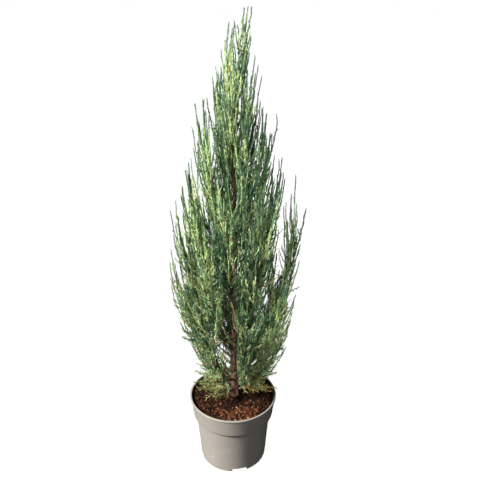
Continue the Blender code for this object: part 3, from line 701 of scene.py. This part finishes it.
def draw_whips(paths, tone, style, crown):
    """The whips themselves: wood at the foot, green above it and darker at the tip. Gives their colours."""
    woody, all_dry = style["woody"], style["dry"] > 0.5
    thick, thin = WHIP_RADIUS
    waist, tip = thick * WHIP_WAIST, thin * WHIP_TIP["thick"]
    wood = crown.heap("sprays", "dry") if all_dry else crown.heap("twigs", "brown")
    cords(wood, stretch_of(paths, np.linspace(0.0, woody, 6)), np.linspace(thick, waist, 4), sides=4)
    colours = green_of(tone)
    colours[crown.chance.random(len(paths)) < style["olive"]] = OLIVE_NUMBER
    if all_dry:
        colours[:] = DRY_NUMBER
    green = stretch_of(paths, np.concatenate([[woody - 0.03], np.linspace(woody - 0.02, 0.74, 7), [0.75]]))
    crown.deal("sprays", colours, green, np.linspace(waist, tip, 7), sides=4)
    tips = stretch_of(paths, WHIP_TIP["shares"])
    darker = np.where(colours < DRY_NUMBER, np.clip(colours - WHIP_TIP["darker"], 0, None), colours)
    crown.deal("sprays", darker, tips, np.linspace(tip, thin, 4), sides=4)
    return colours


def grow_branchlets(paths, lengths, tone, style, crown):
    """Branchlets all along each whip, shorter towards its tip, with cords or needles on them."""
    chance = crown.chance
    start, end = style["from"], style["to"]
    most = int((end - start) * lengths.max() / style["step"])
    shape = (len(paths), most)
    stations = np.linspace(start, end, most)[None] + chance.normal(0, BRANCHLETS_VARY["place"], shape)
    roots, ways = along_paths(paths, np.clip(stations, 0, 1))
    taper = 1 - (stations - start) / (end - start + 0.05)
    taper = np.clip(taper, SMALLEST_BRANCHLET, 1) ** BRANCHLET_TAPER
    relative = (lengths / lengths.mean())[:, None]
    size = style["length"] * taper * chance.uniform(*BRANCHLETS_VARY["size"], shape) * relative
    varied = chance.normal(0, BRANCHLETS_VARY["turn"], shape)
    turns = np.radians(np.arange(most) * GOLDEN_ANGLE)[None] + varied
    angle = np.radians(style["angle"] + chance.normal(0, BRANCHLETS_VARY["angle"], shape))
    keep = chance.random(shape) < (lengths / lengths.max())[:, None] + 0.05
    varied = chance.normal(0, TONE["branchlet"], shape)
    colours = green_of(tone[:, None] + (stations - 0.4) * TONE["tip"] + varied)
    colours[chance.random(shape) < style["olive"]] = OLIVE_NUMBER
    colours[chance.random(shape) < style["dry"]] = DRY_NUMBER
    roots, ways, size, turns, angle, colours = (
        values[keep] for values in (roots, ways, size, turns, angle, colours))

    leaving = leaning(ways, turns, angle)
    rising = unit(leaving * 0.35 + ways * 0.65 + np.array(UP) * 0.15)
    reach = size[:, None]
    _, leave, bend, turned, _ = BRANCHLET_KNOTS
    knee = roots + leaving * reach * bend
    shoulder = knee + unit(leaving + rising) * reach * (turned - bend)
    tip = shoulder + rising * reach * (1 - turned)
    branches = np.stack([roots, roots + leaving * reach * leave, knee, shoulder, tip], axis=1)
    free = crown.space.inside(branches[:, -1])
    branches, size, colours = branches[free], size[free], colours[free]
    prickly = chance.random(len(branches)) < style["prickly"]
    crown.deal("sprays", colours, branches, np.array(BRANCHLET_RADII))
    smooth = ~prickly
    grow_cords(branches[smooth], size[smooth], colours[smooth], CORDS, crown, BRANCHLET_KNOTS)
    grow_needles(branches[prickly], size[prickly], colours[prickly], style["needles"], crown, BRANCHLET_KNOTS)


def spread_along(paths, sizes, rule, chance, knots):
    """Places all round paths for what grows on them, as arrays that share a first axis."""
    first = rule["first"]
    wanted = np.clip(np.round(sizes * (1 - first) / rule["step"]), 1, rule["most"])[:, None]
    order = np.arange(rule["most"])[None]
    shares = lerp(first, 1.0, (order + 0.4) / (wanted + 0.4))
    present = order < wanted
    roots, ways = along_paths(paths, np.clip(shares, 0, 0.995), knots)
    length = chance.uniform(*rule["length"], shares.shape)
    angle = np.radians(chance.normal(rule["angle"], 6, shares.shape))
    turns = np.radians(order * GOLDEN_ANGLE) + chance.uniform(0, math.tau, (len(paths), 1))
    owners = np.broadcast_to(np.arange(len(paths))[:, None], shares.shape)
    return [values[present] for values in (roots, ways, length, angle, turns, shares, owners)]


def grow_cords(paths, sizes, colours, rule, crown, knots=None):
    """Scale-covered cords all round each branchlet or whip, close to it and shorter towards its tip."""
    if not len(paths):
        return
    places = spread_along(paths, sizes, rule, crown.chance, knots)
    roots, ways, length, angle, turns, shares, owners = places
    length = (length * (CORD_TAPER[0] - CORD_TAPER[1] * shares))[:, None]
    leaving = leaning(ways, turns, angle)
    knee = roots + leaving * length * CORD_PARTS[0]
    tip = knee + unit(leaving + ways * 0.9) * length * CORD_PARTS[1]
    points = np.stack([roots, knee, tip], axis=1)
    darkening = rule["dark_tip"] * np.clip((shares - DARK_TIP[0]) / DARK_TIP[1], 0, 1)
    colours = lighter(colours[owners], crown.chance, darkening)
    crown.deal("sprays", colours, points, np.array([rule["radius"]]))


def grow_needles(paths, sizes, colours, rule, crown, knots=None):
    """Short sharp needles that stand out all round each branchlet or whip."""
    if not len(paths):
        return
    places = spread_along(paths, sizes, rule, crown.chance, knots)
    roots, ways, length, angle, turns, _, owners = places
    length = length[:, None]
    leaving = leaning(ways, turns, angle)
    points = np.stack([roots, roots + leaving * length * NEEDLE_BASE, roots + leaving * length], axis=1)
    crown.deal("needles", colours[owners], points, np.array([rule["radius"]]), flatness=rule["flatness"])


def grow_crown(limbs):
    """The crown's heaps, by kind and colour."""
    crown = Crown(limbs)
    for index, limb in enumerate(limbs):
        grow_plume(limb, index, crown)
        dry = limb.name == DRY_SPRIG
        thick, thin = GREEN_STEM["radii"]
        green_from = lerp(limb.stem_start, limb.length, 0.0 if dry else GREEN_STEM["start"])
        line = line_array(limb.stretch(green_from, limb.length, 14))[None]
        radii = np.linspace(limb.stem if dry else thick, thin, 12)
        cords(crown.heap("sprays", "dry" if dry else "mid"), line, radii, sides=6 if dry else 4)
    for rule, dress in SHOOTS:
        paths = shoot_paths(rule, crown)
        style = dict(BRANCHLETS, needles=NEEDLES, **dress)
        dress_whips(paths, tones(paths, SHOOT_TONE, crown.chance), style, crown)
    return crown.heaps


# Bark

def bark_relief(point, around, girth):
    """How far the bark stands out at a place, as a share: long upright strips with pits between them."""
    strips = noise.noise(Vector((around[0] * girth * 330, around[1] * girth * 330, point.z * 46)))
    flakes = noise.noise(Vector((point.x * 700, point.y * 700, point.z * 190)))
    return (0.5 - abs(strips)) * 0.9 + flakes * 0.35


def bark_tube(heap, points, radii, sides, relief):
    """A closed limb with the bark's relief on it."""
    count = len(points)
    vertices, triangles = [], []
    previous = None
    for i, (point, radius) in enumerate(zip(points, radii)):
        way = (points[min(i + 1, count - 1)] - points[max(i - 1, 0)]).normalized()
        if previous is None:
            across = way.cross(Vector((0.2, 1.0, 0.3)))
        else:
            across = previous - way * previous.dot(way)
        across.normalize()
        previous = across
        other = way.cross(across)
        for side in range(sides):
            angle = math.tau * side / sides
            arm = across * math.cos(angle) + other * math.sin(angle)
            stand = bark_relief(point + arm * radius, (math.cos(angle), math.sin(angle)), radius)
            vertices.append(point + arm * (radius + relief[i] * stand))
    for i in range(count - 1):
        for side in range(sides):
            a, b = i * sides + side, i * sides + (side + 1) % sides
            triangles += [(a, b, b + sides), (a, b + sides, a + sides)]
    bottom, top = len(vertices), len(vertices) + 1
    vertices += [points[0], points[-1]]
    last = (count - 1) * sides
    for side in range(sides):
        triangles.append((bottom, (side + 1) % sides, side))
        triangles.append((top, last + side, last + (side + 1) % sides))
    heap.add(line_array(vertices), np.array(triangles))


def limb_tube(heap, limb, stretch, ends, rings, sides, relief):
    """A stretch of a limb that tapers from one radius to another. The relief is a share of the radius."""
    radii = [lerp(*ends, i / (rings - 1)) for i in range(rings)]
    bark_tube(heap, limb.stretch(*stretch, rings), radii, sides, [relief * radius for radius in radii])


def grow_bark(limbs):
    """The trunk and the boughs in one heap, and the stems of the plumes in another."""
    bark, stems = Heap(), Heap()
    heights = [lerp(TRUNK_LINE[0][0], TRUNK_TOP, (i / (TRUNK_RINGS - 1)) ** 1.12) for i in range(TRUNK_RINGS)]
    flares = [FLARE * math.exp(-(height - SOIL_TOP) / FLARE_HEIGHT) for height in heights]
    radii = [(trunk_radius(height) - flare) * BARK_GIRTH[0] + flare * BARK_GIRTH[1]
             for height, flare in zip(heights, flares)]
    relief = [min(MOST_RELIEF, 0.11 * radius) for radius in radii]
    bark_tube(bark, [trunk_point(height) for height in heights], radii, 30, relief)
    for limb in limbs:
        if limb.bough:
            stretch = (0, limb.stem_start + 0.004)
            limb_tube(bark, limb, stretch, (limb.bough, limb.stem * 1.05), 44, 14, 0.10)
        if limb.name != DRY_SPRIG:
            stretch = (limb.stem_start, lerp(limb.stem_start, limb.length, BROWN_STEM["end"]))
            limb_tube(stems, limb, stretch, (limb.stem, BROWN_STEM["radius"]), 40, 8, 0.07)
    return bark, stems


# Pot and potting mix

def inner_wall():
    """The outline of the pot's inside as (radius, height), from the floor up to the rim."""
    return [(FOOT_RADIUS - WALL, CHANNEL_HEIGHT + FLOOR), (BODY_TOP[0] - WALL, BODY_TOP[1] + WALL),
            (COLLAR_FOOT[0] - WALL, COLLAR_FOOT[1] + WALL), (COLLAR_TOP - WALL, POT_HEIGHT)]


def filleted(profile, radii, steps=4):
    """A profile with its corners rounded, each by its own radius."""
    rounded = [profile[0]]
    for before, corner, after, radius in zip(profile, profile[1:], profile[2:], radii):
        a, b, c = Vector(before), Vector(corner), Vector(after)
        reach = min(radius, (a - b).length * 0.45, (c - b).length * 0.45)
        start, end = b + (a - b).normalized() * reach, b + (c - b).normalized() * reach
        for i in range(steps + 1):
            t = i / steps
            rounded.append(tuple(start * (1 - t) ** 2 + b * 2 * t * (1 - t) + end * t ** 2))
    return rounded + [profile[-1]]


def turned_mesh(name, profile, sides):
    """A closed turned mesh from a profile whose ends are on the axis."""
    shape = bmesh.new()
    rings = []
    for radius, height in profile:
        if radius < 1e-7:
            rings.append([shape.verts.new((0, 0, height))])
        else:
            angles = [math.tau * i / sides for i in range(sides)]
            rings.append([shape.verts.new((radius * math.cos(angle), radius * math.sin(angle), height))
                          for angle in angles])
    for low, high in zip(rings, rings[1:]):
        for i in range(sides):
            j = (i + 1) % sides
            corners = [low[i % len(low)], low[j % len(low)], high[j % len(high)], high[i % len(high)]]
            distinct = list(dict.fromkeys(corners))
            if len(distinct) > 2:
                shape.faces.new(distinct)
    bmesh.ops.recalc_face_normals(shape, faces=shape.faces)
    mesh = bpy.data.meshes.new(name)
    shape.to_mesh(mesh)
    shape.free()
    return mesh


def make_pot(outside, inside):
    """The pot with a rounded rim and ledges, and its notches and drain holes cut."""
    profile = [
        (0, FLOOR), (PAD_RADIUS - FLOOR, FLOOR), (PAD_RADIUS - CHANNEL_SLOPE, CHANNEL_HEIGHT + FLOOR),
        *inner_wall(),
        (RIM_RADIUS, POT_HEIGHT), (RIM_RADIUS, POT_HEIGHT - LIP), (COLLAR_TOP, POT_HEIGHT - LIP),
        COLLAR_FOOT, BODY_TOP, (FOOT_RADIUS + 0.0013, 0.004), (FOOT_RADIUS, 0),
        (FOOT_RADIUS - FOOT_RING, 0), (FOOT_RADIUS - FOOT_RING, CHANNEL_HEIGHT),
        (PAD_RADIUS + CHANNEL_SLOPE, CHANNEL_HEIGHT), (PAD_RADIUS, 0), (0, 0),
    ]
    radii = [0.002, 0.002, 0.003, 0.003, 0.002, 0.0006, 0.0011, 0.0011, 0.0008, 0.0034, 0.0034, 0.002, 0.0012,
             0.0008, 0.001, 0.001, 0.0008]
    mesh = turned_mesh("pot_shell", filleted(profile, radii), 144)
    shell = bpy.data.objects.new("pot_shell", mesh)
    bpy.context.scene.collection.objects.link(shell)
    cutters = []
    deep, wide, high = POCKET_SIZE
    for i in range(POCKETS):
        bearing = FIRST_POCKET + 360 * i / POCKETS
        cutters.append(box_cutter(outward(bearing) * FOOT_RADIUS, (deep, wide, high * 2), bearing))
    for i in range(DRAINS):
        bpy.ops.mesh.primitive_cylinder_add(vertices=28, radius=DRAIN_RADIUS, depth=4 * FLOOR)
        drain = bpy.context.object
        drain.location = outward(360 * i / DRAINS) * DRAIN_RING + UP * (CHANNEL_HEIGHT + FLOOR / 2)
        cutters.append(drain)
    for cutter in cutters:
        cut = shell.modifiers.new("cut", "BOOLEAN")
        cut.operation, cut.object, cut.solver = "DIFFERENCE", cutter, "EXACT"
    bpy.context.view_layer.update()
    final = bpy.data.meshes.new_from_object(shell.evaluated_get(bpy.context.evaluated_depsgraph_get()))
    for thing in [shell, *cutters]:
        bpy.data.objects.remove(thing)
    final.name = "nursery_pot"
    final.shade_smooth()
    final.set_sharp_from_angle(angle=math.radians(38))
    piece = add_piece("nursery_pot", final, outside, ["pot"])
    piece.data.materials.append(inside)
    wall_radii, wall_heights = zip(*inner_wall())
    # The faces inside the pot, above its floor, get the near-black inside material
    for face in final.polygons:
        middle = face.center
        wall = np.interp(middle.z, wall_heights, wall_radii) + WALL * 0.4
        face.material_index = int(middle.z > FLOOR * 0.9 and math.hypot(middle.x, middle.y) < wall)


def box_cutter(place, size, bearing):
    """A box with rounded upright and top edges, to cut a notch."""
    bpy.ops.mesh.primitive_cube_add(size=1)
    box = bpy.context.object
    box.data.transform(Matrix.Diagonal((*size, 1)))
    rounding = box.modifiers.new("round", "BEVEL")
    rounding.width, rounding.segments = 0.0016, 3
    box.rotation_euler.z = math.radians(bearing)
    box.location = place
    return box


# The mix lies higher along the wall, most on one side
SOIL_BANK = {"from": 0.048, "width": 0.035, "height": 0.0055, "bearing": 200}
SOIL_LEVEL_ROUND_TRUNK = 0.030


def soil_height(x, y):
    """The top of the potting mix, uneven in lumps and grains and banked up at the wall."""
    lumps = noise.noise(Vector((x, y, 0.022)) / 0.022) * 0.0032
    coarse = noise.noise(Vector((x, y, 0.1)) / 0.006) * 0.0016
    fine = noise.noise(Vector((x, y, 0.2)) / 0.0025) * 0.0007
    foot = trunk_point(TRUNK_LINE[0][0])
    clear = min(1.0, math.hypot(x - foot.x, y - foot.y) / SOIL_LEVEL_ROUND_TRUNK)
    nearness = min(1.0, max(0.0, (math.hypot(x, y) - SOIL_BANK["from"]) / SOIL_BANK["width"]))
    side = 0.65 + 0.35 * math.cos(math.atan2(y, x) - math.radians(SOIL_BANK["bearing"]))
    bank = SOIL_BANK["height"] * side * nearness ** 2 * (3 - 2 * nearness)
    return SOIL_TOP + (lumps + (coarse + fine)) * clear + bank


def soil_edge(height):
    """The inside radius of the pot's collar at a height."""
    low, high = inner_wall()[-2:]
    return lerp(low[0], high[0], (height - low[1]) / (high[1] - low[1]))


def make_soil(material):
    """The potting mix as a closed body with a fine uneven top."""
    wall = [(radius - 0.0004, height + 0.0004) for radius, height in inner_wall()[:-1]]
    edge = soil_edge(SOIL_TOP) - 0.0005
    rings = 46
    profile = [(0, SOIL_TOP)] + [(edge * i / rings, SOIL_TOP) for i in range(1, rings + 1)]
    profile += list(reversed(wall))
    pad = PAD_RADIUS - FLOOR - 0.0006
    profile += [(pad + FLOOR - CHANNEL_SLOPE, wall[0][1]), (pad, FLOOR + 0.0006), (0, FLOOR + 0.0006)]
    mesh = turned_mesh("potting_mix_body", profile, 150)
    for vertex in mesh.vertices:
        if vertex.co.z > SOIL_TOP - 1e-6:
            vertex.co.z = soil_height(vertex.co.x, vertex.co.y)
            out = math.hypot(vertex.co.x, vertex.co.y) / edge
            vertex.co.xy *= lerp(1.0, (soil_edge(vertex.co.z) - 0.0005) / edge, out ** 4)
    mesh.shade_smooth()
    add_piece("potting_mix_body", mesh, material, ["potting_mix"])


CHIP_CORNERS = np.array([(x, y, z) for x in (-1, 1) for y in (-1, 1) for z in (-1, 1)]) / 2
CHIP_FACES = np.array([(0, 1, 3), (0, 3, 2), (4, 6, 7), (4, 7, 5), (0, 4, 5), (0, 5, 1),
                       (2, 3, 7), (2, 7, 6), (0, 2, 6), (0, 6, 4), (1, 5, 7), (1, 7, 3)])
FIBRE_RADII = (0.0003, 0.00034, 0.00034, 0.0003)
# Loose bark: how many chips, their lengths, the share of them in the patch in front, and their colour
MULCH = {
    "dark": dict(chips=850, length=(0.004, 0.014), patch=0.0, colour=(0.010, 0.005, 0.003)),
    "brown": dict(chips=760, length=(0.004, 0.014), patch=0.0, colour=(0.028, 0.0105, 0.005)),
    "rust": dict(chips=480, length=(0.004, 0.014), patch=0.55, colour=(0.090, 0.030, 0.013)),
    "tan": dict(chips=170, length=(0.003, 0.008), patch=0.55, colour=(0.270, 0.140, 0.077)),
}


def rotation_about_up(angle):
    cos, sin = math.cos(angle), math.sin(angle)
    return np.array([[cos, -sin, 0], [sin, cos, 0], [0, 0, 1]])


def chip(kind, chance):
    """The corners of one chip of bark, somewhere on the mix."""
    radius = soil_edge(SOIL_TOP) * math.sqrt(chance.random()) * 0.965
    bearing = chance.uniform(0, math.tau)
    if kind["patch"] and chance.random() < kind["patch"]:
        radius, bearing = chance.uniform(0.045, 0.082), chance.normal(-1.45, 0.42)
    x, y = radius * math.cos(bearing), radius * math.sin(bearing)
    long = chance.uniform(*kind["length"])
    size = np.array([long, long * chance.uniform(0.25, 0.55), chance.uniform(0.0010, 0.0028)])
    corners = CHIP_CORNERS * size * chance.uniform(0.6, 1.25, CHIP_CORNERS.shape)
    tilt = chance.normal(0, 0.42, 2)
    spin = UP.rotation_difference(Vector((*tilt, 1)).normalized())
    turn = np.array(spin.to_matrix()) @ rotation_about_up(chance.uniform(0, math.tau))
    lift = chance.uniform(-0.0004, 0.0022)
    place = corners @ turn.T + (x, y, soil_height(x, y) + lift)
    over = np.hypot(place[:, 0], place[:, 1]) / (soil_edge(SOIL_TOP) - 0.0012)
    place[:, :2] /= np.maximum(1.0, over)[:, None]
    return place


def fibre_paths(count, chance):
    """Bowed fibres of bark that lie on the mix, as fibres x stations x 3."""
    out = soil_edge(SOIL_TOP) * 0.93 * np.sqrt(chance.random(count))
    bearing = chance.uniform(0, math.tau, count)
    x, y = (out * np.cos(bearing))[:, None], (out * np.sin(bearing))[:, None]
    way = chance.uniform(0, math.tau, count)
    reach = chance.uniform(0.003, 0.009, count)
    bow = chance.normal(0, 0.0015, count)
    shares = np.linspace(-1, 1, 6)
    px = x + (np.cos(way) * reach)[:, None] * shares - (np.sin(way) * bow)[:, None] * shares ** 2
    py = y + (np.sin(way) * reach)[:, None] * shares + (np.cos(way) * bow)[:, None] * shares ** 2
    over = np.maximum(1.0, np.hypot(px, py) / (soil_edge(SOIL_TOP) - 0.0015))
    px, py = px / over, py / over
    pz = np.array([[soil_height(a, b) for a, b in zip(*row)] for row in zip(px, py)])
    pz = pz + 0.0008 + np.abs(chance.normal(0, 0.0012, (count, 1)))
    return np.stack([px, py, pz], axis=2)


def make_mulch():
    """Chips and fibres of bark strewn over the potting mix, in four colours."""
    chance = np.random.default_rng(5)
    for colour, kind in MULCH.items():
        name = f"mulch_{colour}"
        heap = Heap()
        for _ in range(kind["chips"]):
            heap.add(chip(kind, chance), CHIP_FACES)
        cords(heap, fibre_paths(kind["chips"] // 3, chance), np.array(FIBRE_RADII))
        mesh = triangle_mesh(name, np.concatenate(heap.vertices), np.concatenate(heap.triangles))
        mesh.set_sharp_from_angle(angle=math.radians(40))
        add_piece(name, mesh, soil_look(name, kind["colour"]), ["potting_mix"])


# Materials

class Look:
    """A node material under way: one Principled shader, with noises and ramps added to it."""

    def __init__(self, name, roughness, gloss=0.5):
        self.material = bpy.data.materials.new(name)
        self.material.use_nodes = True
        self.tree = self.material.node_tree
        self.shader = self.tree.nodes["Principled BSDF"]
        self.shader.inputs["Roughness"].default_value = roughness
        self.shader.inputs["Specular IOR Level"].default_value = gloss
        self.place = self.tree.nodes.new("ShaderNodeTexCoord").outputs["Object"]

    def node(self, kind, **inputs):
        """A new node, with its inputs set to values or linked to another node's output."""
        node = self.tree.nodes.new(f"ShaderNode{kind}")
        for name, value in inputs.items():
            socket = node.inputs[name.replace("_", " ")]
            if isinstance(value, bpy.types.NodeSocket):
                self.tree.links.new(value, socket)
            else:
                socket.default_value = value
        return node

    def feed(self, name, value):
        """Links an output to an input of the shader."""
        self.tree.links.new(value, self.shader.inputs[name])

    def noise(self, scale, detail=2.0, stretch=(1, 1, 1)):
        place = self.node("Mapping", Scale=stretch, Vector=self.place).outputs["Vector"]
        return self.node("TexNoise", Scale=scale, Detail=detail, Vector=place).outputs["Fac"]

    def ramp(self, value, stops):
        ramp = self.node("ValToRGB", Fac=value)
        while len(ramp.color_ramp.elements) < len(stops):
            ramp.color_ramp.elements.new(0.5)
        for element, (place, colour) in zip(ramp.color_ramp.elements, stops):
            element.position = place
            element.color = (*colour, 1)
        return ramp.outputs["Color"]

    def mix(self, share, first, second):
        mix = self.node("Mix", Factor=share)
        mix.data_type = "RGBA"
        self.tree.links.new(first, mix.inputs["A"])
        self.tree.links.new(second, mix.inputs["B"])
        return mix.outputs["Result"]

    def colour(self, value):
        self.feed("Base Color", value)

    def rough(self, value, low, high):
        self.feed("Roughness", self.node("MapRange", Value=value, To_Min=low, To_Max=high).outputs["Result"])

    def bump(self, value, distance, strength=1.0):
        bump = self.node("Bump", Height=value, Distance=distance, Strength=strength)
        self.feed("Normal", bump.outputs["Normal"])


def shades(colour, dark, light):
    """A ramp from a darker to a lighter shade of one colour."""
    return [(0.30, tuple(c * dark for c in colour)), (0.70, tuple(c * light for c in colour))]


def foliage_look(name, colour):
    look = Look(name, 0.5, 0.32)
    bloom = look.ramp(look.noise(60, 3), shades(colour, 0.68, 1.36))
    beads = look.ramp(look.noise(330, 2), shades(colour, 0.40, 1.75))
    look.colour(look.mix(look.noise(25, 1), bloom, beads))
    look.bump(look.noise(1100, 2), 0.0002, 0.6)
    return look.material


def bark_look():
    look = Look("juniper_bark", 0.85, 0.25)
    strips = look.noise(260, 4, (1, 1, 0.14))
    brown = look.ramp(strips, [(0.32, (0.028, 0.012, 0.008)), (0.52, (0.110, 0.052, 0.033)),
                               (0.72, (0.192, 0.108, 0.073))])
    grey = look.ramp(strips, [(0.32, (0.035, 0.022, 0.017)), (0.52, (0.140, 0.090, 0.066)),
                              (0.72, (0.250, 0.180, 0.141))])
    patches = look.ramp(look.noise(30, 3), [(0.42, (0, 0, 0)), (0.62, (1, 1, 1))])
    look.colour(look.mix(patches, brown, grey))
    look.bump(look.noise(420, 5, (1, 1, 0.2)), 0.0006)
    return look.material


def twig_look():
    look = Look("juniper_twigs", 0.7)
    look.colour(look.ramp(look.noise(90, 3), [(0.30, (0.050, 0.022, 0.012)), (0.50, (0.125, 0.058, 0.030)),
                                              (0.72, (0.200, 0.120, 0.060))]))
    look.bump(look.noise(700, 3, (1, 1, 0.4)), 0.0002)
    return look.material


def pot_look():
    look = Look("taupe_plastic", 0.5)
    base = look.ramp(look.noise(14, 4), [(0.30, (0.258, 0.236, 0.212)), (0.70, (0.293, 0.269, 0.242))])
    dust = look.ramp(look.noise(55, 6), [(0.50, (0.258, 0.236, 0.212)), (0.80, (0.323, 0.295, 0.260))])
    look.colour(look.mix(look.noise(5, 2), base, dust))
    look.rough(look.noise(40, 5), 0.42, 0.62)
    look.bump(look.noise(1500, 3), 0.00006, 0.5)
    return look.material


def dark_inside_look():
    """The pot's inside: near black, with dull brown patches."""
    look = Look("dark_pot_inside", 0.6)
    look.colour(look.ramp(look.noise(70, 5), [(0.40, (0.012, 0.011, 0.011)), (0.75, (0.040, 0.028, 0.021))]))
    look.rough(look.noise(60, 4), 0.5, 0.8)
    look.bump(look.noise(900, 4), 0.0001, 0.6)
    return look.material


def soil_look(name, colour):
    look = Look(name, 0.9, 0.12)
    look.colour(look.ramp(look.noise(180, 5), shades(colour, 0.45, 1.6)))
    look.bump(look.noise(900, 5), 0.0005)
    return look.material


def floor_look():
    look = Look("pale_floor", 0.8)
    look.colour(look.ramp(look.noise(3, 2), [(0.3, (0.86, 0.86, 0.855)), (0.7, (0.88, 0.88, 0.875))]))
    return look.material


# Studio

WARM, COOL, WHITE = (1.0, 0.975, 0.93), (0.93, 0.97, 1.0), (1, 1, 1)
# Each light: where it shines from, its strength, its colour, its spread in degrees, and what it falls on
LIGHTS = {
    "key": ((-1.0, -0.46, 0.85), 10.0, WARM, 16, "all_but_floor"),
    "fill": ((0.7, -1.0, 0.55), 0.62, COOL, 30, "all_but_floor"),
    "rim": ((1.0, 0.05, 0.60), 3.9, COOL, 30, "plant"),
    "top": ((-0.2, -1.0, 0.75), 0.50, COOL, 60, "all_but_floor"),
    "floor_light": (UP, 3.7, WHITE, 16, "only_floor"),
}
UNDER_LIGHT = (0.25, 0.26, 0.27)
SKY_STRENGTH = 0.034
CAMERA_PLACE = (0.0155, -1.24, 1.16)
CAMERA_TILT = 26.5  # degrees down from level
LENS = 52.5
FLOOR_DEPTH = 0.0004  # how far the floor is under the pot


def make_studio(plant_pieces):
    """The pale floor, the lights, the camera and a faint sky."""
    bpy.ops.mesh.primitive_plane_add(size=30)
    floor = bpy.context.object
    floor.name = "studio_floor"
    floor.location.z = -FLOOR_DEPTH
    floor.data.materials.append(floor_look())
    floor.visible_diffuse = floor.visible_glossy = False
    bpy.context.scene.world = faint_sky()

    lit = {name: bpy.data.collections.new(name) for name in ("plant", "all_but_floor", "only_floor")}
    for piece in plant_pieces:
        lit["plant"].objects.link(piece)
    lit["all_but_floor"].objects.link(floor)
    lit["all_but_floor"].collection_objects[0].light_linking.link_state = "EXCLUDE"
    lit["only_floor"].objects.link(floor)
    for name, (*shine, receivers) in LIGHTS.items():
        light = add_sun(name, *shine)
        light.light_linking.receiver_collection = lit[receivers]
        if receivers == "only_floor":
            light.light_linking.blocker_collection = lit[receivers]

    lens = bpy.data.cameras.new("camera")
    lens.lens = LENS
    lens.sensor_width = 36
    camera = bpy.data.objects.new("camera", lens)
    camera.location = CAMERA_PLACE
    camera.rotation_euler = (math.radians(90 - CAMERA_TILT), 0, 0)
    bpy.context.scene.collection.objects.link(camera)
    bpy.context.scene.camera = camera
    bpy.context.scene.view_settings.view_transform = "Standard"


def faint_sky():
    """A world that is a little darker under the horizon."""
    world = bpy.data.worlds.new("studio")
    world.use_nodes = True
    tree = world.node_tree
    sky = tree.nodes.new("ShaderNodeValToRGB")
    split = tree.nodes.new("ShaderNodeSeparateXYZ")
    place = tree.nodes.new("ShaderNodeTexCoord")
    tree.links.new(place.outputs["Generated"], split.inputs["Vector"])
    tree.links.new(split.outputs["Z"], sky.inputs["Fac"])
    tree.links.new(sky.outputs["Color"], tree.nodes["Background"].inputs["Color"])
    for element, position, colour in zip(sky.color_ramp.elements, (0.0, 0.05), (UNDER_LIGHT, COOL)):
        element.position = position
        element.color = (*colour, 1)
    tree.nodes["Background"].inputs["Strength"].default_value = SKY_STRENGTH
    return world


def add_sun(name, origin, strength, colour, spread):
    """A distant soft light that shines from a direction."""
    lamp = bpy.data.lights.new(name, "SUN")
    lamp.energy, lamp.color, lamp.angle = strength, colour, math.radians(spread)
    holder = bpy.data.objects.new(name, lamp)
    holder.rotation_euler = Vector(origin).to_track_quat("Z", "Y").to_euler()
    bpy.context.scene.collection.objects.link(holder)
    return holder


# The scene

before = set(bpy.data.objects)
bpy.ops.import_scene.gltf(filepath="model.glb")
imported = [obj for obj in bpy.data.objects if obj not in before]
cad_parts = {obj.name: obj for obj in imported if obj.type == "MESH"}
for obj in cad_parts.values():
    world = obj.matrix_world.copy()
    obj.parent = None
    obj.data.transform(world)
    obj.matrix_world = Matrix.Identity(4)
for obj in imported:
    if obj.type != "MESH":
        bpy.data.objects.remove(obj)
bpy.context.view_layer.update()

limbs = plan_limbs(random.Random(790))
masses = [limb.name for limb in limbs]
limbs_in_bark = ["trunk"] + [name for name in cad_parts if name.startswith("bough")]

make_pot(pot_look(), dark_inside_look())
make_soil(soil_look("potting_mix_fine", (0.014, 0.007, 0.005)))
make_mulch()

bark, stems = grow_bark(limbs)
plant_pieces = add_pieces("bark", bark, bark_look(), limbs_in_bark)
heaps = grow_crown(limbs)
twigs = heaps.pop(("twigs", "brown"))
for vertices, triangles in zip(stems.vertices, stems.triangles):
    twigs.add(vertices, triangles - triangles.min())
plant_pieces += add_pieces("twigs", twigs, twig_look(), masses)
looks = {colour: foliage_look(f"juniper_{colour}", shade) for colour, shade in LEAF_COLOURS.items()}
for (kind, colour), heap in sorted(heaps.items()):
    plant_pieces += add_pieces(f"{kind}_{colour}", heap, looks[colour], masses)
make_studio(plant_pieces)
